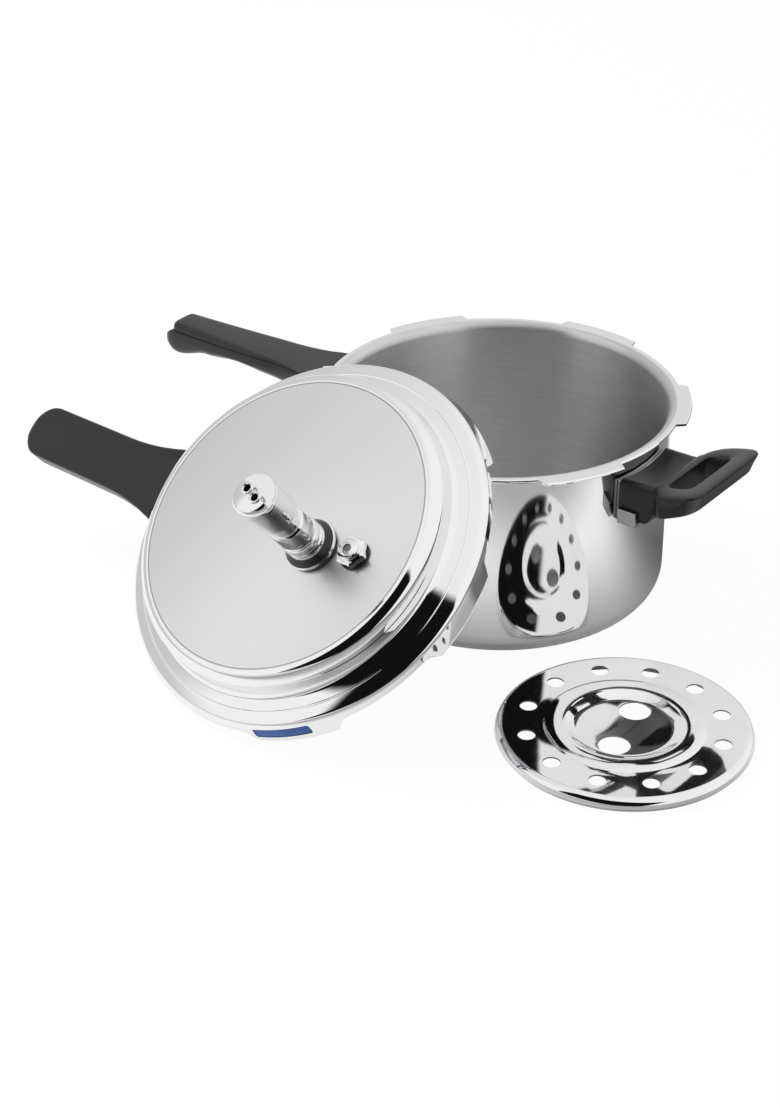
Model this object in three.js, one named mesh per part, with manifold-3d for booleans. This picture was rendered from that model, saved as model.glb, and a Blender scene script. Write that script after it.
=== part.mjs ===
// A stovetop pressure cooker with an outer lid. The lid is off and leans on the pot's rim,
// with its handle to the left, and the steam separator plate lies on the floor in front.
// Millimetres and degrees, +Z up. The origin is on the floor under the pot's centre,
// the helper handle points along +X and the long handle along -X.

import * as THREE from 'three';
import { mergeVertices } from 'three/addons/utils/BufferGeometryUtils.js';
import Module from 'manifold-3d';

const wasm = await Module();
wasm.setup();

// Fits and facets
const gap = 0.3; // clearance between neighbouring pieces
const cutOver = 2; // how far a cut runs past what it cuts
const weldDistance = 1e-4;
const largeSteps = 48; // facets round the pot and the lid
const plateSteps = 36;
const smallSteps = 18; // facets round fittings
const tinySteps = 12; // facets round screws and ports

// Pot
const potRadius = 111; // outside of the wall
const potHeight = 139; // top of the rim above the floor
const potWall = 2;
const potCorner = 18.5; // outside radius between wall and bottom
const lipRadius = 6; // flare from the inside wall to the rim
const rimFlare = 7; // how far the rim stands out past the wall
const rimRadius = potRadius + rimFlare; // rim between its lugs
const lugReach = 6; // how far a lug stands out past the rim
const lugCount = 6;
const potLugSpan = 28;
const potLugSlant = 3; // extra opening of a gap at the lugs' outer ends
const firstPotLug = 30; // from +X, so both handles sit between lugs

// Sandwich base
const baseInset = 31; // base inside the wall
const baseRadius = potRadius - baseInset;
const baseChamfer = 1.5;
const capThickness = 0.8;
const coreThickness = 2.4;

// Screws
const screwRadius = 2.2;
const screwHeadRadius = 4.5;
const screwHeadHeight = 3;

// Long handle of the pot
const potHandleBelowRim = 21.5;
const potHandleLength = 174; // tip from the wall
const potHandleTop = potHeight - potHandleBelowRim; // flat top above the floor
const potHandleReach = potRadius + potHandleLength; // tip from the pot's axis
const potHandleRootHalf = 28;
const potHandleNeckHalf = 18;
const potHandleTipHalf = 13;
const potHandleRootStraight = 26; // length of the wide root
const potHandleNeckStart = 79; // from the pot wall to the slim part
const potHandleRootDepth = 26;
const potHandleNeckDepth = 13;
const potHandleTipDepth = 23.5;
const potHandleTipCorner = 6;
const potHandleRidge = 1.8; // step in from the sides to the flat top
const potHandleRidgeDepth = 6; // height of that step at the tip, falling to none at the root
const potHandleLobe = 9; // how far the lower part sticks out past the flat top

// Welded bracket and screw of the long handle
const bracketSheet = 2;
const potBracketSpan = 20;
const potBracketBelowTop = 22;
const potBracketHeight = 18;
const potTongueLength = 40;
const potTongueWidth = 16;
const potTongueThickness = 3;
const potTongueBelowTop = 13;
const potScrewInset = 10; // from the tongue's end to the screw
const potScrewCover = 5; // handle above the screw's end
const potScrewRecess = 3; // head below the underside

// Helper handle
const helperBelowRim = 15;
const helperRootDepth = 27; // depths and rises at the wall, the joint and the tip
const helperJointRise = 3;
const helperJointDepth = 19;
const helperTipRise = 12;
const helperTipDepth = 12.5;
const helperRootTop = potHeight - helperBelowRim;
const helperRootBottom = helperRootTop - helperRootDepth;
const helperJointTop = helperRootTop + helperJointRise;
const helperJointBottom = helperJointTop - helperJointDepth;
const helperTipTop = helperRootTop + helperTipRise;
const helperTipBottom = helperTipTop - helperTipDepth;
const helperJoint = 26; // length of the block beside the pot
const helperDish = 6; // length of the rise at the block's end
const helperReach = 61.5; // tip from the pot wall
const helperDraft = 6.5; // how far the tip's outer side slopes in
const helperEdge = 1.5; // bevel of the tip's upper edge
const helperRootHalf = 28;
const helperLoopHalf = 41.5;
const helperLoopFlare = 19; // length over which the loop widens
const helperLoopCorner = 12;
const helperSlotHalf = 25;
const helperSlotStart = 31; // finger slot, from the pot wall
const helperSlotDepth = 17;
const helperSlotCorner = 5;

// Bracket and screw of the helper handle
const helperBracketSpan = 28;
const helperShelfDepth = 13;
const helperTabHeight = 8;
const helperScrewRise = 20.3; // above the block's underside at the wall
const helperScrewHeight = helperRootBottom + helperScrewRise;
const helperBossRadius = 4.4;
const helperBossLength = 9;
const helperScrewInset = 4; // head below the slot's inner wall
const helperScrewLength = 20;

// Lid, heights above the edge of its skirt
const lidWall = 1.5;
const lidTop = 40.7;
const lidShoulder = 8;
const lidFillet = 5; // between the shoulder's wall and the ledge
const lidLedgeSlope = 17; // how steeply the ledge falls outwards
const lidLedgeRound = 5;
const lidEdgeHeight = 10.5; // where the ledge's round meets the skirt
const lidFit = 1.5; // lid's edge outside the pot's lugs, and its lugs outside the rim
const lidEdgeRadius = rimRadius + lugReach + lidFit;
const lidFlare = 2.3; // how much wider the skirt is at its lower edge
const lidSkirtRadius = lidEdgeRadius + lidFlare;
const lidStepIn = 27.7; // from the edge in to the flat top
const lidTopRadius = lidEdgeRadius - lidStepIn;
const lidLugSpan = 30;
const lidLugInner = rimRadius + lidFit;
const lidLugBottom = 6;
const firstLidLug = 30; // from the side away from the lid's handle
const windowMiddle = -63.5; // gasket release window
const windowSpan = 18;
const windowBottom = 4;
const windowTop = 12;

// Gasket
const gasketOverRim = 5; // how far the lip covers the rim
const gasketInner = rimRadius - gasketOverRim;
const gasketGroove = 5;
const gasketLip = 2;
const gasketTongueDepth = 2; // part that fills the window, inside the gasket's outer edge
const gasketTongueSide = 0.4; // degrees free at each end of the window

// Lid handle
const lidHandleTop = 8;
const lidHandleLength = 137.7; // tip from the skirt
const lidHandleReach = lidSkirtRadius + lidHandleLength;
const lidHandleDepth = 16;
const lidHandleRootHalf = 27;
const lidHandleNeckHalf = 19;
const lidHandleTipHalf = 18.6;
const lidHandleRootStraight = 0;
const lidHandleNeckStart = 52;
const lidHandleTipCorner = 4;
const lidHandleTipBulge = 7; // how far the curved end stands out past its corners
const lidHandleRound = 2;
const lidHandleHook = 4; // hook under the tip
const lidHandleHookInset = 11.5;
const lidHandleHookLength = 5;
const lidBracketSpan = 22;
const lidBracketHeight = 9;
const lidTongueLength = 32;
const lidTongueWidth = 16;
const lidTongueThickness = 3;
const lidTongueBelowTop = 8;
const lidScrewInset = 9;
const lidScrewCover = 4;
const lidScrewRecess = 1;

// Vent in the lid
const ventX = 30;
const ventY = -6.7;
const ventBore = 2;
const ventStemRadius = 5;
const ventFlangeRadius = 17;
const ventFlangeHeight = 5;
const ventBodyRadius = 13.5;
const ventBodyHeight = 12;
const ventGroove = 1.2;
const ventTubeRadius = 6;
const ventTubeHeight = 22;
const ventTipRadius = 3.5;
const ventTipHeight = 4;
const ventWasherRadius = 15;
const washerThickness = 1.5;
const nutHeight = 6;
const nutFlats = 19;
const stemPastNut = 2;

// Whistle weight over the vent
const weightRadius = 14;
const weightHeight = 33;
const weightChamfer = 2;
const weightBore = 6.6;
const weightRoom = 6; // free bore above the vent's tip
const weightSpigotRadius = 9.5;
const weightSpigotLength = 8;
const weightPortRadius = 1.8;
const weightPortOffset = 4.6;
const weightStepDepth = 3;
const weightStepEdge = 2;
const weightTurn = -22; // weight about its own axis
const collarRadius = 12;
const collarAboveVent = 0.8;
const collarChamfer = 1.2;
const pinRadius = 2.2;
const pinHold = 8; // length held in the weight
const pinTipRadius = 1.3;
const pinTipLength = 4;

// Safety plug in the lid
const plugX = 61;
const plugY = -1;
const plugFlats = 18;
const plugHexHeight = 5;
const plugBossRadius = 7;
const plugBossHeight = 3.5;
const plugStemRadius = 6;
const plugWasherRadius = 10;
const fuseRadius = 2.5;
const fuseRecess = 1;

// Separator plate
const plateRadius = 79.5;
const plateRimRadius = 77; // rim where it stands on the floor
const plateSheet = 1;
const plateFlat = 9.2; // height of the flat ring that holds the steam holes
const plateShoulder = 5;
const plateDish = 7; // height of the shallow middle
const plateDishRadius = 30;
const plateCrest = 10.6; // height of the raised ring
const plateCrestInner = 38;
const plateCrestOuter = 44;
const plateFlatInner = 50;
const steamHoleCount = 12;
const steamHoleRadius = 5.5;
const steamHoleCircle = 61.5;
const steamHoleStart = 17;
const liftHoleRadius = 10;
const liftHoleOffset = 20;
const liftHoleDirection = 104;

// Where the loose pieces lie
const leanAzimuth = -97.2; // side of the pot that the lid leans on
const leanTilt = 40.7; // lid's axis from upright
const leanTurn = 2.5; // lid about its own axis
const leanShift = -13.6; // lid's centre beside the line through the pot's axis
const floorGap = 0.2;
const plateFromWall = 92.4; // plate's centre from the pot wall
const plateDistance = potRadius + plateFromWall;
const plateAzimuth = -32.5;

const radians = THREE.MathUtils.degToRad;

// Materials
const steel = new THREE.MeshStandardMaterial({ color: 0xd9dadb, roughness: 0.08, metalness: 1 });
const satinSteel = new THREE.MeshStandardMaterial({ color: 0xc4c5c6, roughness: 0.35, metalness: 1 });
const aluminium = new THREE.MeshStandardMaterial({ color: 0xb9bbbd, roughness: 0.5, metalness: 1 });
const bakelite = new THREE.MeshStandardMaterial({ color: 0x1d1c1c, roughness: 0.42, metalness: 0 });
const silicone = new THREE.MeshStandardMaterial({ color: 0x3f6fa8, roughness: 0.6, metalness: 0 });
const darkRubber = new THREE.MeshStandardMaterial({ color: 0x262626, roughness: 0.7, metalness: 0 });
const fusibleAlloy = new THREE.MeshStandardMaterial({ color: 0x8f9194, roughness: 0.6, metalness: 1 });

// Turns a closed geometry into a solid with shared corners
function solidFrom(geometry) {
  geometry.deleteAttribute('normal');
  geometry.deleteAttribute('uv');
  const welded = mergeVertices(geometry, weldDistance);
  const corners = welded.index.array;
  const faces = [];
  for (let i = 0; i < corners.length; i += 3) {
    const [a, b, c] = corners.slice(i, i + 3);
    if (a !== b && b !== c && c !== a) {
      faces.push(a, b, c);
    }
  }
  return new wasm.Manifold(new wasm.Mesh({
    numProp: 3,
    vertProperties: new Float32Array(welded.attributes.position.array),
    triVerts: new Uint32Array(faces),
  }));
}

// Names a solid and gives it a material
function piece(name, solid, material) {
  const { vertProperties, triVerts } = solid.getMesh();
  const geometry = new THREE.BufferGeometry();
  geometry.setAttribute('position', new THREE.BufferAttribute(vertProperties, 3));
  geometry.setIndex(new THREE.BufferAttribute(triVerts, 1));
  geometry.computeVertexNormals();
  const mesh = new THREE.Mesh(geometry, material);
  mesh.name = name;
  return mesh;
}

// Points of an arc in an outline of [radius, height] pairs
function arc(r, z, radius, from, to, steps) {
  return Array.from({ length: steps + 1 }, (_, i) => {
    const angle = radians(from + ((to - from) * i) / steps);
    return [r + radius * Math.cos(angle), z + radius * Math.sin(angle)];
  });
}

// Revolves an outline that starts and ends on the axis, counter-clockwise, about Z
function revolve(outline, steps) {
  const points = outline.map(([r, z]) => new THREE.Vector2(r, z));
  return solidFrom(new THREE.LatheGeometry(points, steps).rotateX(Math.PI / 2));
}

// Revolves an outline that closes on itself
function revolveRing(outline, steps) {
  return revolve([...outline, outline[0]], steps);
}

// Upright prism of a plan shape, with rounded edges at both ends where round is given
function prism(shape, bottom, top, round = 0, curveSegments = 5) {
  const geometry = new THREE.ExtrudeGeometry(shape, {
    depth: top - bottom - 2 * round,
    curveSegments,
    bevelEnabled: round > 0,
    bevelThickness: round,
    bevelSize: round,
    bevelOffset: -round,
    bevelSegments: 2,
  });
  return solidFrom(geometry.translate(0, 0, bottom + round));
}

// Prism of a side view, drawn in X and Z, across the middle plane
function sidePrism(shape, halfWidth) {
  const geometry = new THREE.ExtrudeGeometry(shape, {
    depth: 2 * halfWidth,
    bevelEnabled: false,
    curveSegments: 6,
  });
  return solidFrom(geometry.translate(0, 0, -halfWidth).rotateX(Math.PI / 2));
}

// Upright round rod
function rod(radius, bottom, top, steps, x = 0, y = 0) {
  const geometry = new THREE.CylinderGeometry(radius, radius, top - bottom, steps);
  return solidFrom(geometry.rotateX(Math.PI / 2).translate(x, y, (top + bottom) / 2));
}

// Round rod along X
function crossRod(radius, from, to, height, steps) {
  const geometry = new THREE.CylinderGeometry(radius, radius, to - from, steps);
  return solidFrom(geometry.rotateZ(Math.PI / 2).translate((from + to) / 2, 0, height));
}

// Box from its lowest to its highest corner
function block(low, high) {
  const size = high.map((value, axis) => value - low[axis]);
  const middle = high.map((value, axis) => (value + low[axis]) / 2);
  return solidFrom(new THREE.BoxGeometry(...size).translate(...middle));
}

// Plan shape of a ring's sector, which may open wider at its outer edge
function sector(inner, outer, middle, span, outerSpan = span) {
  const shape = new THREE.Shape();
  shape.absarc(0, 0, outer, radians(middle - outerSpan / 2), radians(middle + outerSpan / 2), false);
  shape.absarc(0, 0, inner, radians(middle + span / 2), radians(middle - span / 2), true);
  return shape;
}

// One prism of a sector for each lug, evenly round the axis
function lugSectors(inner, outer, first, span, outerSpan, bottom, top) {
  const pitch = 360 / lugCount;
  const sectors = Array.from({ length: lugCount }, (_, i) => (
    prism(sector(inner, outer, first + i * pitch, span, outerSpan), bottom, top, 0, 8)
  ));
  return sectors.reduce((joined, next) => joined.add(next));
}

// Plan shape of a rectangle with rounded corners
function roundedRectangle(x0, x1, halfWidth, corner) {
  const shape = new THREE.Shape();
  shape.moveTo(x0 + corner, -halfWidth);
  shape.lineTo(x1 - corner, -halfWidth);
  shape.absarc(x1 - corner, -halfWidth + corner, corner, -Math.PI / 2, 0, false);
  shape.absarc(x1 - corner, halfWidth - corner, corner, 0, Math.PI / 2, false);
  shape.absarc(x0 + corner, halfWidth - corner, corner, Math.PI / 2, Math.PI, false);
  shape.absarc(x0 + corner, -halfWidth + corner, corner, Math.PI, 1.5 * Math.PI, false);
  return shape;
}

// Six-sided plan shape across its flats
function hexagon(flats) {
  const corners = Array.from({ length: 6 }, (_, i) => {
    const angle = radians(60 * i);
    const radius = flats / 2 / Math.cos(Math.PI / 6);
    return new THREE.Vector2(radius * Math.cos(angle), radius * Math.sin(angle));
  });
  return new THREE.Shape(corners);
}

// Plan shape of a bar handle: wide root, slim neck and a tip with round corners and a curved end
function handlePlan(root, reach, size) {
  const { rootHalf, neckHalf, tipHalf, rootStraight, neckStart, tipCorner, tipBulge } = size;
  const start = root - rootHalf / 2; // inside the wall, cut off later
  const flareStart = root + rootStraight;
  const flareEnd = root + neckStart;
  const flareMiddle = (flareStart + flareEnd) / 2;
  const end = reach - tipBulge;
  const corner = end - (2 * tipBulge * tipCorner) / (tipHalf - tipCorner);
  const shape = new THREE.Shape();
  shape.moveTo(start, -rootHalf);
  shape.lineTo(flareStart, -rootHalf);
  shape.quadraticCurveTo(flareMiddle, -neckHalf, flareEnd, -neckHalf);
  shape.lineTo(corner - tipCorner, -tipHalf);
  shape.quadraticCurveTo(corner, -tipHalf, end, -tipHalf + tipCorner);
  shape.quadraticCurveTo(reach + tipBulge, 0, end, tipHalf - tipCorner);
  shape.quadraticCurveTo(corner, tipHalf, corner - tipCorner, tipHalf);
  shape.lineTo(flareEnd, neckHalf);
  shape.quadraticCurveTo(flareMiddle, neckHalf, flareStart, rootHalf);
  shape.lineTo(start, rootHalf);
  return shape;
}

// Screw with its head down
function screwOutline(head, end) {
  return [
    [0, head],
    [screwHeadRadius, head],
    [screwHeadRadius, head + screwHeadHeight],
    [screwRadius, head + screwHeadHeight],
    [screwRadius, end],
    [0, end],
  ];
}

// Hole for such a screw, open below its head
function screwHole(x, head, end) {
  const bore = rod(screwRadius + gap, head, end + gap, tinySteps, x);
  const recess = rod(screwHeadRadius + gap, head - potHeight, head + screwHeadHeight + gap, tinySteps, x);
  return bore.add(recess);
}

// Plate against a round wall with a drilled tongue pointing out along X
function tongueBracket(size) {
  const { wall, span, bottom, top, length, width, tongueBottom, thickness, hole } = size;
  const plate = prism(sector(wall + gap, wall + gap + bracketSheet, 0, span), bottom, top);
  const corner = thickness / 2;
  const tongueShape = roundedRectangle(wall + gap + bracketSheet / 2, wall + length, width / 2, corner);
  const tongue = prism(tongueShape, tongueBottom, tongueBottom + thickness, 0, 2);
  const drill = rod(
    screwRadius + gap, tongueBottom - cutOver, tongueBottom + thickness + cutOver, tinySteps, hole,
  );
  return plate.add(tongue).subtract(drill);
}

// Room for such a bracket in the handle that it carries
function bracketRoom(size) {
  const { wall, length, width, tongueBottom, thickness, bottom, top } = size;
  const face = rod(wall + 2 * gap + bracketSheet, bottom - potHeight, top + potHeight, 2 * largeSteps);
  const slot = block(
    [wall, -width / 2 - gap, tongueBottom - gap],
    [wall + length + gap, width / 2 + gap, tongueBottom + thickness + gap],
  );
  return face.add(slot);
}

// Pot body with its rim and lugs
function makePotBody() {
  const bottom = capThickness + coreThickness + 2 * gap;
  const inside = potRadius - potWall;
  const lipCentre = inside + lipRadius;
  const lipHeight = potHeight - lipRadius;
  const lugRadius = rimRadius + lugReach;
  const shell = revolve([
    [0, bottom],
    ...arc(potRadius - potCorner, bottom + potCorner, potCorner, -90, 0, 5),
    ...arc(lipCentre, lipHeight, lipRadius - potWall, 180, 90, 2),
    [lugRadius, potHeight - potWall],
    [lugRadius, potHeight],
    ...arc(lipCentre, lipHeight, lipRadius, 90, 180, 3),
    ...arc(potRadius - potCorner, bottom + potCorner, potCorner - potWall, 0, -90, 5),
    [0, bottom + potWall],
  ], largeSteps);
  const gapSpan = 360 / lugCount - potLugSpan;
  const gapMiddle = firstPotLug + 180 / lugCount;
  const gaps = lugSectors(
    rimRadius, lugRadius + cutOver, gapMiddle, gapSpan, gapSpan + potLugSlant,
    potHeight - potWall - cutOver, potHeight + cutOver,
  );
  return shell.subtract(gaps);
}

// Steel cap under the pot, turned up round the heat core
function makeBaseCap() {
  const rim = capThickness + coreThickness + gap;
  return revolve([
    [0, 0],
    [baseRadius - baseChamfer, 0],
    [baseRadius, baseChamfer],
    [baseRadius, rim],
    [baseRadius - capThickness, rim],
    [baseRadius - capThickness, capThickness],
    [0, capThickness],
  ], largeSteps);
}

// Aluminium disc that spreads the heat
function makeHeatCore() {
  const bottom = capThickness + gap;
  const radius = baseRadius - capThickness - gap - baseChamfer;
  return rod(radius, bottom, bottom + coreThickness, largeSteps);
}

// Long handle of the pot, drawn along +X and turned round later
const potBracket = {
  wall: potRadius,
  span: potBracketSpan,
  bottom: potHandleTop - potBracketBelowTop,
  top: potHandleTop - potBracketBelowTop + potBracketHeight,
  length: potTongueLength,
  width: potTongueWidth,
  tongueBottom: potHandleTop - potTongueBelowTop,
  thickness: potTongueThickness,
  hole: potRadius + potTongueLength - potScrewInset,
};
const potHandlePlanSize = {
  rootHalf: potHandleRootHalf,
  neckHalf: potHandleNeckHalf,
  tipHalf: potHandleTipHalf,
  rootStraight: potHandleRootStraight,
  neckStart: potHandleNeckStart,
  tipCorner: potHandleTipCorner,
  tipBulge: 0,
};

// Height of the long handle's underside at a distance from the pot's axis
const potHandleUnderside = new THREE.SplineCurve([
  new THREE.Vector2(potRadius - cutOver, potHandleTop - potHandleRootDepth),
  new THREE.Vector2(potBracket.hole, potHandleTop - (potHandleRootDepth + potHandleNeckDepth) / 2),
  new THREE.Vector2((potBracket.hole + potHandleReach) / 2, potHandleTop - potHandleNeckDepth),
  new THREE.Vector2(potHandleReach - 2 * potHandleTipCorner, potHandleTop - potHandleTipDepth),
  new THREE.Vector2(potHandleReach, potHandleTop - potHandleNeckDepth),
]);
const potScrewHead = potHandleTop - (potHandleRootDepth + potHandleNeckDepth) / 2 + potScrewRecess;
const potScrewEnd = potHandleTop - potScrewCover - gap;

// Below, the body is cut to a top that falls from the neck to the lobe; above, the flat top is slimmer
function makePotHandle() {
  const top = potHandleTop;
  const lowest = top - potHandleRootDepth - cutOver;
  const flatEnd = potHandleReach - potHandleLobe;
  const size = potHandlePlanSize;
  const slimmer = {
    ...size,
    rootHalf: size.rootHalf - potHandleRidge,
    neckHalf: size.neckHalf - potHandleRidge,
    tipHalf: size.tipHalf - potHandleRidge,
    tipCorner: 2 * potHandleRidge,
  };
  const side = new THREE.Shape();
  side.moveTo(potRadius - cutOver, top);
  potHandleUnderside.getPoints(14).forEach((point) => side.lineTo(point.x, point.y));
  side.lineTo(flatEnd, top - potHandleRidgeDepth);
  side.lineTo(potRadius + potHandleNeckStart, top);
  const body = prism(handlePlan(potRadius, potHandleReach, size), lowest, top + cutOver)
    .intersect(sidePrism(side, potHandleRootHalf + cutOver));
  const flat = prism(
    handlePlan(potRadius, flatEnd, slimmer), top - potHandleNeckDepth + potHandleRidge, top, potHandleRidge,
  );
  return body.add(flat)
    .subtract(bracketRoom(potBracket))
    .subtract(screwHole(potBracket.hole, potScrewHead, potScrewEnd));
}

function makePotScrew() {
  const screw = new THREE.LatheGeometry(
    screwOutline(potScrewHead, potScrewEnd).map(([r, z]) => new THREE.Vector2(r, z)), tinySteps,
  );
  return solidFrom(screw.rotateX(Math.PI / 2).translate(potBracket.hole, 0, 0));
}

// Helper handle: a block beside the pot and a loop with a finger slot
const helperRoot = potRadius + 2 * gap + bracketSheet;
const helperSlotWall = potRadius + helperSlotStart;
const helperScrewHead = helperSlotWall - helperScrewInset;

function makeHelperHandle() {
  const joint = potRadius + helperJoint;
  const reach = potRadius + helperReach;
  const flareBend = joint + helperLoopFlare / 5;
  const flareEnd = joint + helperLoopFlare;
  const plan = new THREE.Shape();
  plan.moveTo(potRadius, -helperRootHalf);
  plan.lineTo(joint, -helperRootHalf);
  plan.quadraticCurveTo(flareBend, -helperLoopHalf, flareEnd, -helperLoopHalf);
  plan.lineTo(reach - helperLoopCorner, -helperLoopHalf);
  plan.quadraticCurveTo(reach, -helperLoopHalf, reach, -helperLoopHalf + helperLoopCorner);
  plan.lineTo(reach, helperLoopHalf - helperLoopCorner);
  plan.quadraticCurveTo(reach, helperLoopHalf, reach - helperLoopCorner, helperLoopHalf);
  plan.lineTo(flareEnd, helperLoopHalf);
  plan.quadraticCurveTo(flareBend, helperLoopHalf, joint, helperRootHalf);
  plan.lineTo(potRadius, helperRootHalf);
  const side = new THREE.Shape();
  side.moveTo(potRadius, helperRootBottom);
  side.lineTo(joint - helperDish, helperRootBottom);
  side.lineTo(joint, helperJointBottom);
  side.lineTo(reach - helperDraft, helperTipBottom);
  side.lineTo(reach, helperTipTop - helperEdge);
  side.lineTo(reach - helperEdge, helperTipTop);
  side.lineTo(joint, helperJointTop);
  side.lineTo(joint - helperDish, helperRootTop);
  side.lineTo(potRadius, helperRootTop);
  const slot = roundedRectangle(
    helperSlotWall, helperSlotWall + helperSlotDepth, helperSlotHalf, helperSlotCorner,
  );
  const face = rod(helperRoot, 0, potHeight, 2 * largeSteps);
  const bossRoom = crossRod(
    helperBossRadius + gap, potRadius, helperRoot + helperBossLength, helperScrewHeight, tinySteps,
  );
  const screwRoom = crossRod(
    screwRadius + gap, potRadius, helperScrewHead, helperScrewHeight, tinySteps,
  );
  const headRoom = crossRod(
    screwHeadRadius + gap, helperScrewHead - screwHeadHeight - gap, helperSlotWall + cutOver,
    helperScrewHeight, tinySteps,
  );
  return prism(plan, helperRootBottom - cutOver, helperTipTop + cutOver)
    .intersect(sidePrism(side, helperLoopHalf + cutOver))
    .subtract(prism(slot, helperRootBottom - cutOver, helperTipTop + cutOver, 0, 4))
    .subtract(face)
    .subtract(bossRoom)
    .subtract(screwRoom)
    .subtract(headRoom);
}

// Steel bracket that holds the helper handle: plate, shelf, two side tabs and a threaded boss
function makeHelperBracket() {
  const inner = potRadius + gap;
  const shelfTop = helperRootBottom - gap;
  const shelfBottom = shelfTop - bracketSheet;
  const plate = prism(
    sector(inner, inner + bracketSheet, 0, helperBracketSpan), shelfBottom, helperRootTop - bracketSheet,
  );
  const tabInner = helperRootHalf + gap;
  const tabOuter = tabInner + bracketSheet;
  const shelf = block(
    [inner, -tabOuter, shelfBottom], [potRadius + helperShelfDepth, tabOuter, shelfTop],
  );
  const wallRoom = rod(inner, shelfBottom - cutOver, helperRootTop, 2 * largeSteps);
  const tabs = [-1, 1].map((sideSign) => {
    const ys = [sideSign * tabInner, sideSign * tabOuter].sort((a, b) => a - b);
    return block(
      [potRadius, ys[0], shelfBottom],
      [potRadius + helperShelfDepth, ys[1], shelfTop + helperTabHeight],
    );
  });
  const boss = crossRod(
    helperBossRadius, inner + bracketSheet / 2, helperRoot + helperBossLength - gap,
    helperScrewHeight, tinySteps,
  );
  const thread = crossRod(
    screwRadius + gap, potRadius, helperRoot + helperBossLength, helperScrewHeight, tinySteps,
  );
  return plate.add(shelf).add(tabs[0]).add(tabs[1]).subtract(wallRoom).add(boss).subtract(thread);
}

function makeHelperScrew() {
  const outline = screwOutline(-helperScrewHead, -helperScrewHead + helperScrewLength);
  const screw = new THREE.LatheGeometry(outline.map(([r, z]) => new THREE.Vector2(r, z)), tinySteps);
  return solidFrom(screw.rotateX(Math.PI / 2).rotateY(-Math.PI / 2).translate(0, 0, helperScrewHeight));
}

// Radius of the lid's slightly flared skirt, outside, at a height
function skirtRadius(height) {
  const flare = lidSkirtRadius - lidEdgeRadius;
  return lidSkirtRadius - (flare * height) / lidEdgeHeight;
}

// Centres of the two curves that the lid's sloping ledge joins
const edgeCentre = lidEdgeRadius - lidLedgeRound;
const filletCentre = lidTopRadius + lidShoulder + lidFillet;
const ledgeRun = (edgeCentre - filletCentre) * Math.sin(radians(lidLedgeSlope));
const ledgeRise = (lidLedgeRound + lidFillet + ledgeRun) / Math.cos(radians(lidLedgeSlope));
const filletHeight = lidEdgeHeight + ledgeRise;

// Lid: flat top, rounded shoulder, ledge, and a skirt with lugs turned in between its tabs
function makeLidShell() {
  const shoulder = lidTop - lidShoulder;
  const filletEnd = 270 - lidLedgeSlope;
  const edgeStart = 90 - lidLedgeSlope;
  const shell = revolve([
    [0, lidTop - lidWall],
    ...arc(lidTopRadius, shoulder, lidShoulder - lidWall, 90, 0, 3),
    ...arc(filletCentre, filletHeight, lidFillet + lidWall, 180, filletEnd, 2),
    ...arc(edgeCentre, lidEdgeHeight, lidLedgeRound - lidWall, edgeStart, 0, 2),
    [lidSkirtRadius - lidWall, 0],
    [lidSkirtRadius, 0],
    ...arc(edgeCentre, lidEdgeHeight, lidLedgeRound, 0, edgeStart, 2),
    ...arc(filletCentre, filletHeight, lidFillet, filletEnd, 180, 2),
    ...arc(lidTopRadius, shoulder, lidShoulder, 0, 90, 4),
    [0, lidTop],
  ], largeSteps);
  const lugTop = lidLugBottom + lidWall;
  const lugRoot = skirtRadius(lugTop) - lidWall / 2;
  const lugRing = revolveRing([
    [lidLugInner, lidLugBottom],
    [lugRoot, lidLugBottom],
    [lugRoot, lugTop],
    [lidLugInner, lugTop],
  ], largeSteps);
  const farOut = lidSkirtRadius + cutOver;
  const nearIn = lidLugInner - cutOver;
  const shortSkirt = lugSectors(
    nearIn, farOut, firstLidLug, lidLugSpan, lidLugSpan, -cutOver, lidLugBottom,
  );
  const lugParts = lugSectors(
    nearIn, farOut, firstLidLug, lidLugSpan, lidLugSpan, -cutOver, lidTop,
  );
  const window = prism(sector(nearIn, farOut, windowMiddle, windowSpan), windowBottom, windowTop);
  const ventHole = rod(
    ventStemRadius + gap, lidTop - lidWall - cutOver, lidTop + cutOver, smallSteps, ventX, ventY,
  );
  const plugHole = rod(
    plugStemRadius + gap, lidTop - lidWall - cutOver, lidTop + cutOver, smallSteps, plugX, plugY,
  );
  return shell
    .subtract(shortSkirt)
    .add(lugRing.intersect(lugParts))
    .subtract(window)
    .subtract(ventHole)
    .subtract(plugHole);
}

// Lip gasket that lies under the ledge, above the lugs, with its groove facing in and a tongue
// that fills the window
function makeGasket() {
  const bottom = lidLugBottom + lidWall + gap;
  const top = lidEdgeHeight + lidLedgeRound - lidWall - gap;
  const outer = lidEdgeRadius - lidWall - gap;
  const middle = (bottom + top) / 2;
  const ring = revolveRing([
    [gasketInner, bottom],
    [outer, bottom],
    [outer, lidEdgeHeight],
    [edgeCentre, top],
    [gasketInner, top],
    [gasketInner, top - gasketLip],
    [gasketInner + gasketGroove, middle],
    [gasketInner, bottom + gasketLip],
  ], largeSteps);
  const tongueShape = sector(
    outer - gasketTongueDepth, lidEdgeRadius - gap, windowMiddle, windowSpan - 2 * gasketTongueSide,
  );
  return ring.add(prism(tongueShape, windowBottom + gap, windowTop - gap, 0, 4));
}

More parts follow.
